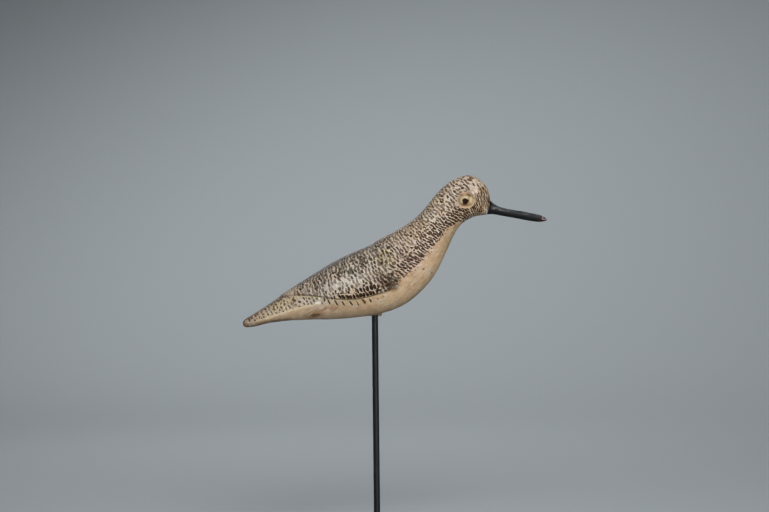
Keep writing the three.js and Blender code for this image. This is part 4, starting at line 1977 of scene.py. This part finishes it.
class Recipe:
    """A Geometry Nodes modifier that makes one piece from named sizes."""

    sharp_angle = 35

    def __init__(self, name: str, sizes: dict[str, float]) -> None:
        """Makes the empty recipe.

        Args:
            name: The piece's name.
            sizes: The modifier's inputs, by name.
        """
        self.name = name
        self.sizes = sizes
        self.group = bpy.data.node_groups.new(name, "GeometryNodeTree")
        for size in sizes:
            self.group.interface.new_socket(size, in_out="INPUT", socket_type="NodeSocketFloat")
        self.group.interface.new_socket("Geometry", in_out="OUTPUT", socket_type="NodeSocketGeometry")
        self.graph = Graph(self.group)
        given = self.graph.add("NodeGroupInput")
        self.given = {size: given.other(size) for size in sizes}

    def make(self, geometry: Value, finish: Finish) -> bpy.types.Object:
        """Closes the recipe and turns what it makes into a plain mesh.

        Args:
            geometry: What the recipe made.
            finish: The finish to set on it.

        Returns:
            The piece, with no modifier left.
        """
        real = self.graph.add("GeometryNodeRealizeInstances", None, [geometry])
        dressed = self.graph.add(
            "GeometryNodeSetMaterial", None, {"Geometry": real, "Material": finish.material()}
        )
        self.graph.add("NodeGroupOutput", None, [dressed])
        piece = bpy.data.objects.new(self.name, bpy.data.meshes.new(self.name))
        bpy.context.scene.collection.objects.link(piece)
        modifier = piece.modifiers.new(self.name, "NODES")
        modifier.node_group = self.group
        for item in self.group.interface.items_tree:
            if item.in_out == "INPUT":
                modifier[item.identifier] = self.sizes[item.name]
        applied(piece)
        piece.data.shade_smooth()
        piece.data.set_sharp_from_angle(angle=math.radians(self.sharp_angle))
        return piece


@dataclass
class Rod:
    """The straight black rod, with both of its ends eased."""

    around: int = 48
    eased: float = 0.0006
    step: float = 0.004
    full_from: Span = (-1e-6, 1e-4)

    def build(self, finish: Finish) -> bpy.types.Object:
        """Sweeps a circle up the rod's axis.

        Args:
            finish: What the rod is covered with.

        Returns:
            The rod.
        """
        low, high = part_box("rod")
        sizes = {
            "Bottom": low.z,
            "Top": high.z,
            "Radius": (high.x - low.x) / 2,
            "Eased": self.eased,
            "Step": self.step,
        }
        recipe = Recipe("rod_black", sizes)
        graph, given = recipe.graph, recipe.given
        ends = {"Start": graph.vector(0.0, 0.0, given["Bottom"]), "End": graph.vector(0.0, 0.0, given["Top"])}
        line = graph.add("GeometryNodeCurvePrimitiveLine", None, ends)
        spaced = {"Curve": line, "Length": given["Step"]}
        stepped = graph.add("GeometryNodeResampleCurve", {"mode": "LENGTH"}, spaced)
        height = graph.add("GeometryNodeInputPosition").split()[2]
        from_end = (height - given["Bottom"]).least(given["Top"] - height)
        full = from_end.rise(*self.full_from)
        radius = given["Radius"] - given["Eased"] * (1.0 - full)
        sized = graph.add("GeometryNodeSetCurveRadius", None, {"Curve": stepped, "Radius": radius})
        circle = {"Resolution": self.around, "Radius": 1.0}
        ring = graph.add("GeometryNodeCurvePrimitiveCircle", {"mode": "RADIUS"}, circle)
        sweep = {"Curve": sized, "Profile Curve": ring, "Scale": radius, "Fill Caps": True}
        return recipe.make(graph.add("GeometryNodeCurveToMesh", None, sweep), finish)

    def dress(self, piece: bpy.types.Object, finish: Finish) -> None:
        """Dresses the rod and sets it on the body in place of the imported part."""
        hand_in(piece, finish, "rod")


@dataclass
class Foot:
    """The turned foot: a disc with eased edges, a seat for the rod and the lathe's fine rings."""

    around: int = 160
    rings: int = 44
    side_steps: int = 8
    seat_edge: float = 2e-4
    floor: float = 0.003
    gap: float = 0.0003
    chamfer: float = 0.001
    ring_pitch: float = 0.0032
    ring_depth: float = 0.00006

    def build(self, finish: Finish) -> bpy.types.Object:
        """Turns the disc's top.

        Args:
            finish: What the foot is covered with.

        Returns:
            The foot.
        """
        low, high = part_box("foot")
        rod_low, rod_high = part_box("rod")
        sizes = {
            "Radius": (high.x - low.x) / 2,
            "Thickness": high.z - low.z,
            "Seat Radius": (rod_high.x - rod_low.x) / 2 + self.gap,
            "Seat Floor": self.floor,
            "Chamfer": self.chamfer,
            "Ring Pitch": self.ring_pitch,
            "Ring Depth": self.ring_depth,
        }
        recipe = Recipe("foot_disc", sizes)
        graph, given = recipe.graph, recipe.given
        counts = {"Vertices": self.around, "Side Segments": self.side_steps, "Fill Segments": self.rings}
        plain = counts | {"Radius": given["Radius"], "Depth": given["Thickness"]}
        disc = graph.add("GeometryNodeMeshCylinder", {"fill_type": "NGON"}, plain, output="Mesh")
        up = graph.vector(0.0, 0.0, given["Thickness"] * 0.5)
        lifted = graph.add("GeometryNodeTransform", None, {"Geometry": disc, "Translation": up})
        moved = {"Geometry": lifted, "Position": self.turned(graph, given)}
        return recipe.make(graph.add("GeometryNodeSetPosition", None, moved), finish)

    def turned(self, graph: Graph, given: dict[str, Value]) -> Value:
        """Where each vertex of the plain disc goes.

        Args:
            graph: The foot's node tree.
            given: The recipe's sizes.

        Returns:
            The new place.
        """
        x, y, z = graph.add("GeometryNodeInputPosition").split()
        radius = (x * x + y * y).math("SQRT")
        at_rim = (radius - given["Radius"] + given["Chamfer"]).most(0.0)
        top = z.rise(given["Thickness"] * 0.5, given["Thickness"])
        waves = (radius / given["Ring Pitch"] * TURN).math("COSINE") * given["Ring Depth"]
        seat = radius.rise(given["Seat Radius"] + self.seat_edge, given["Seat Radius"])
        sunk = (given["Thickness"] - given["Seat Floor"]) * seat
        drop = (waves + given["Ring Depth"]) * top * (1.0 - seat)
        ease = at_rim * (z / given["Thickness"] * 2.0 - 1.0)
        return graph.vector(x, y, z - drop - ease - sunk * top)

    def dress(self, piece: bpy.types.Object, finish: Finish) -> None:
        """Dresses the foot and sets it on the body in place of the imported part."""
        hand_in(piece, finish, "foot")


@dataclass(frozen=True)
class Lamp:
    """A studio lamp: a soft box of a size in metres, or a soft round cone of a width in degrees."""

    name: str
    place: tuple[float, float, float]
    aim: tuple[float, float, float]
    power: float
    size: Place = (0.3, 0.3)
    cone: float = 0.0
    blend: float = 1.0
    spread: float = 180.0

    def build(self) -> None:
        """Sets the lamp up in the scene."""
        data = bpy.data.lights.new(self.name, "SPOT" if self.cone else "AREA")
        data.energy = self.power
        if self.cone:
            data.spot_size = math.radians(self.cone)
            data.spot_blend = self.blend
            data.shadow_soft_size = self.size[0]
        else:
            data.shape = "RECTANGLE"
            data.size, data.size_y = self.size
            data.spread = math.radians(self.spread)
        lamp = bpy.data.objects.new(self.name, data)
        lamp.location = self.place
        lamp.rotation_euler = (Vector(self.aim) - Vector(self.place)).to_track_quat("-Z", "Y").to_euler()
        lamp.visible_camera = False
        bpy.context.scene.collection.objects.link(lamp)


@dataclass
class Studio:
    """The camera, the pale round cove of paper below and all round, and the soft lights."""

    distance: float = 2.136
    lens: float = 100.0
    sensor: float = 36.0
    farthest: float = 50.0
    ahead_of_rod: float = 0.01025
    above_belly: float = 0.0604
    roll: float = 0.0108
    floor_radius: float = 1.2
    bend_length: float = 4.4
    bend_steps: int = 50
    wall_height: float = 3.4
    around: int = 96
    world: float = 0.025
    world_colour: Colour = srgb(214, 218, 222)
    lamps: tuple[Lamp, ...] = (
        Lamp("key", (0.25, -1.9, 1.35), (0.0, 0.0, 0.28), power=11.1, size=(1.3, 0.8), spread=90),
        Lamp("fill", (1.0, -2.2, 0.32), (0.0, 0.0, 0.26), power=1.2, size=(0.7, 0.4), spread=46),
        Lamp("overhead", (0.1, -0.1, 1.6), (0.0, 0.0, 0.28), power=1.8, size=(0.9, 0.5)),
        Lamp("rear", (-0.5, 2.0, 1.3), (0.0, 0.0, 0.28), power=2.6, size=(1.0, 0.5), spread=90),
        Lamp("front_paper_light", (0.0, -1.6, 3.0), (0.0, -3.4, 0.0), power=150.0, cone=136),
        Lamp("paper_light", (-0.115, 2.079, 2.102), (0.392, 2.377, 0.0), power=84.56, cone=129.4),
    )

    def camera(self, belly: Vector) -> None:
        """Sets the camera level with the bird and square to its side, rolled as the photograph is.

        Args:
            belly: Where the rod enters the bird.
        """
        data = bpy.data.cameras.new("camera")
        data.lens = self.lens
        data.sensor_width = self.sensor
        data.clip_end = self.farthest
        camera = bpy.data.objects.new("camera", data)
        camera.location = (belly.x + self.ahead_of_rod, -self.distance, belly.z + self.above_belly)
        camera.rotation_euler = (math.pi / 2, self.roll, 0)
        bpy.context.scene.collection.objects.link(camera)
        bpy.context.scene.camera = camera

    def cove(self) -> None:
        """Makes the paper: a round floor that curves up into a wall all round."""
        share = np.linspace(0, 1, self.bend_steps)
        turns = math.pi / 2 * smooth(share, 0, 1)
        step = self.bend_length * share[1]
        radii = self.floor_radius + step * np.concatenate([[0], np.cumsum(np.cos(turns[1:]))])
        heights = step * np.concatenate([[0], np.cumsum(np.sin(turns[1:]))])
        made = bmesh.new()
        middle = made.verts.new((0, 0, 0))
        rings = []
        for radius, height in (*zip(radii, heights), (radii[-1], self.wall_height)):
            turned = [TURN * count / self.around for count in range(self.around)]
            spots = [(radius * math.cos(angle), radius * math.sin(angle), height) for angle in turned]
            rings.append([made.verts.new(spot) for spot in spots])
        for i in range(self.around):
            j = (i + 1) % self.around
            made.faces.new((middle, rings[0][i], rings[0][j]))
            for inner, outer in zip(rings, rings[1:]):
                made.faces.new((inner[i], outer[i], outer[j], inner[j]))
        paper = write_mesh("paper", made, [vertex.co.copy() for vertex in made.verts])
        paper.data.materials.append(Paper("studio_paper").material())
        paper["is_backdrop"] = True

    def build(self, belly: Vector) -> None:
        """Builds the studio round the bird.

        Args:
            belly: Where the rod enters the bird.
        """
        self.camera(belly)
        self.cove()
        for lamp in self.lamps:
            lamp.build()
        world = bpy.data.worlds.new("studio")
        world.use_nodes = True
        world.node_tree.nodes["Background"].inputs["Color"].default_value = self.world_colour
        world.node_tree.nodes["Background"].inputs["Strength"].default_value = self.world
        scene = bpy.context.scene
        scene.world = world
        scene.view_settings.view_transform = "Standard"
        LOG.info("studio: camera %.3f m from the bird", self.distance)


def corners(bounds: tuple[Vector, Vector]) -> list[list[float]]:
    """A box as plain lists."""
    return [[float(number) for number in corner] for corner in bounds]


def main() -> None:
    """Builds the bird, its bill, the rod and the foot, then the studio."""
    logging.basicConfig(level=logging.INFO, format="%(name)s: %(message)s")
    packed = corners(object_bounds())
    setting = Setting()
    metal = BlackMetal("black_satin_metal")
    foot = Foot()
    foot.dress(foot.build(metal), metal)
    rod = Rod()
    rod.dress(rod.build(metal), metal)
    bill = Bill(setting)
    bird = Bird(setting)
    bird.dress(bird.build(bill))
    bill.dress(bill.build())
    Studio().build(setting.belly)
    {"cad": packed, "visual": corners(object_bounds())}


if __name__ == "__main__":
    main()
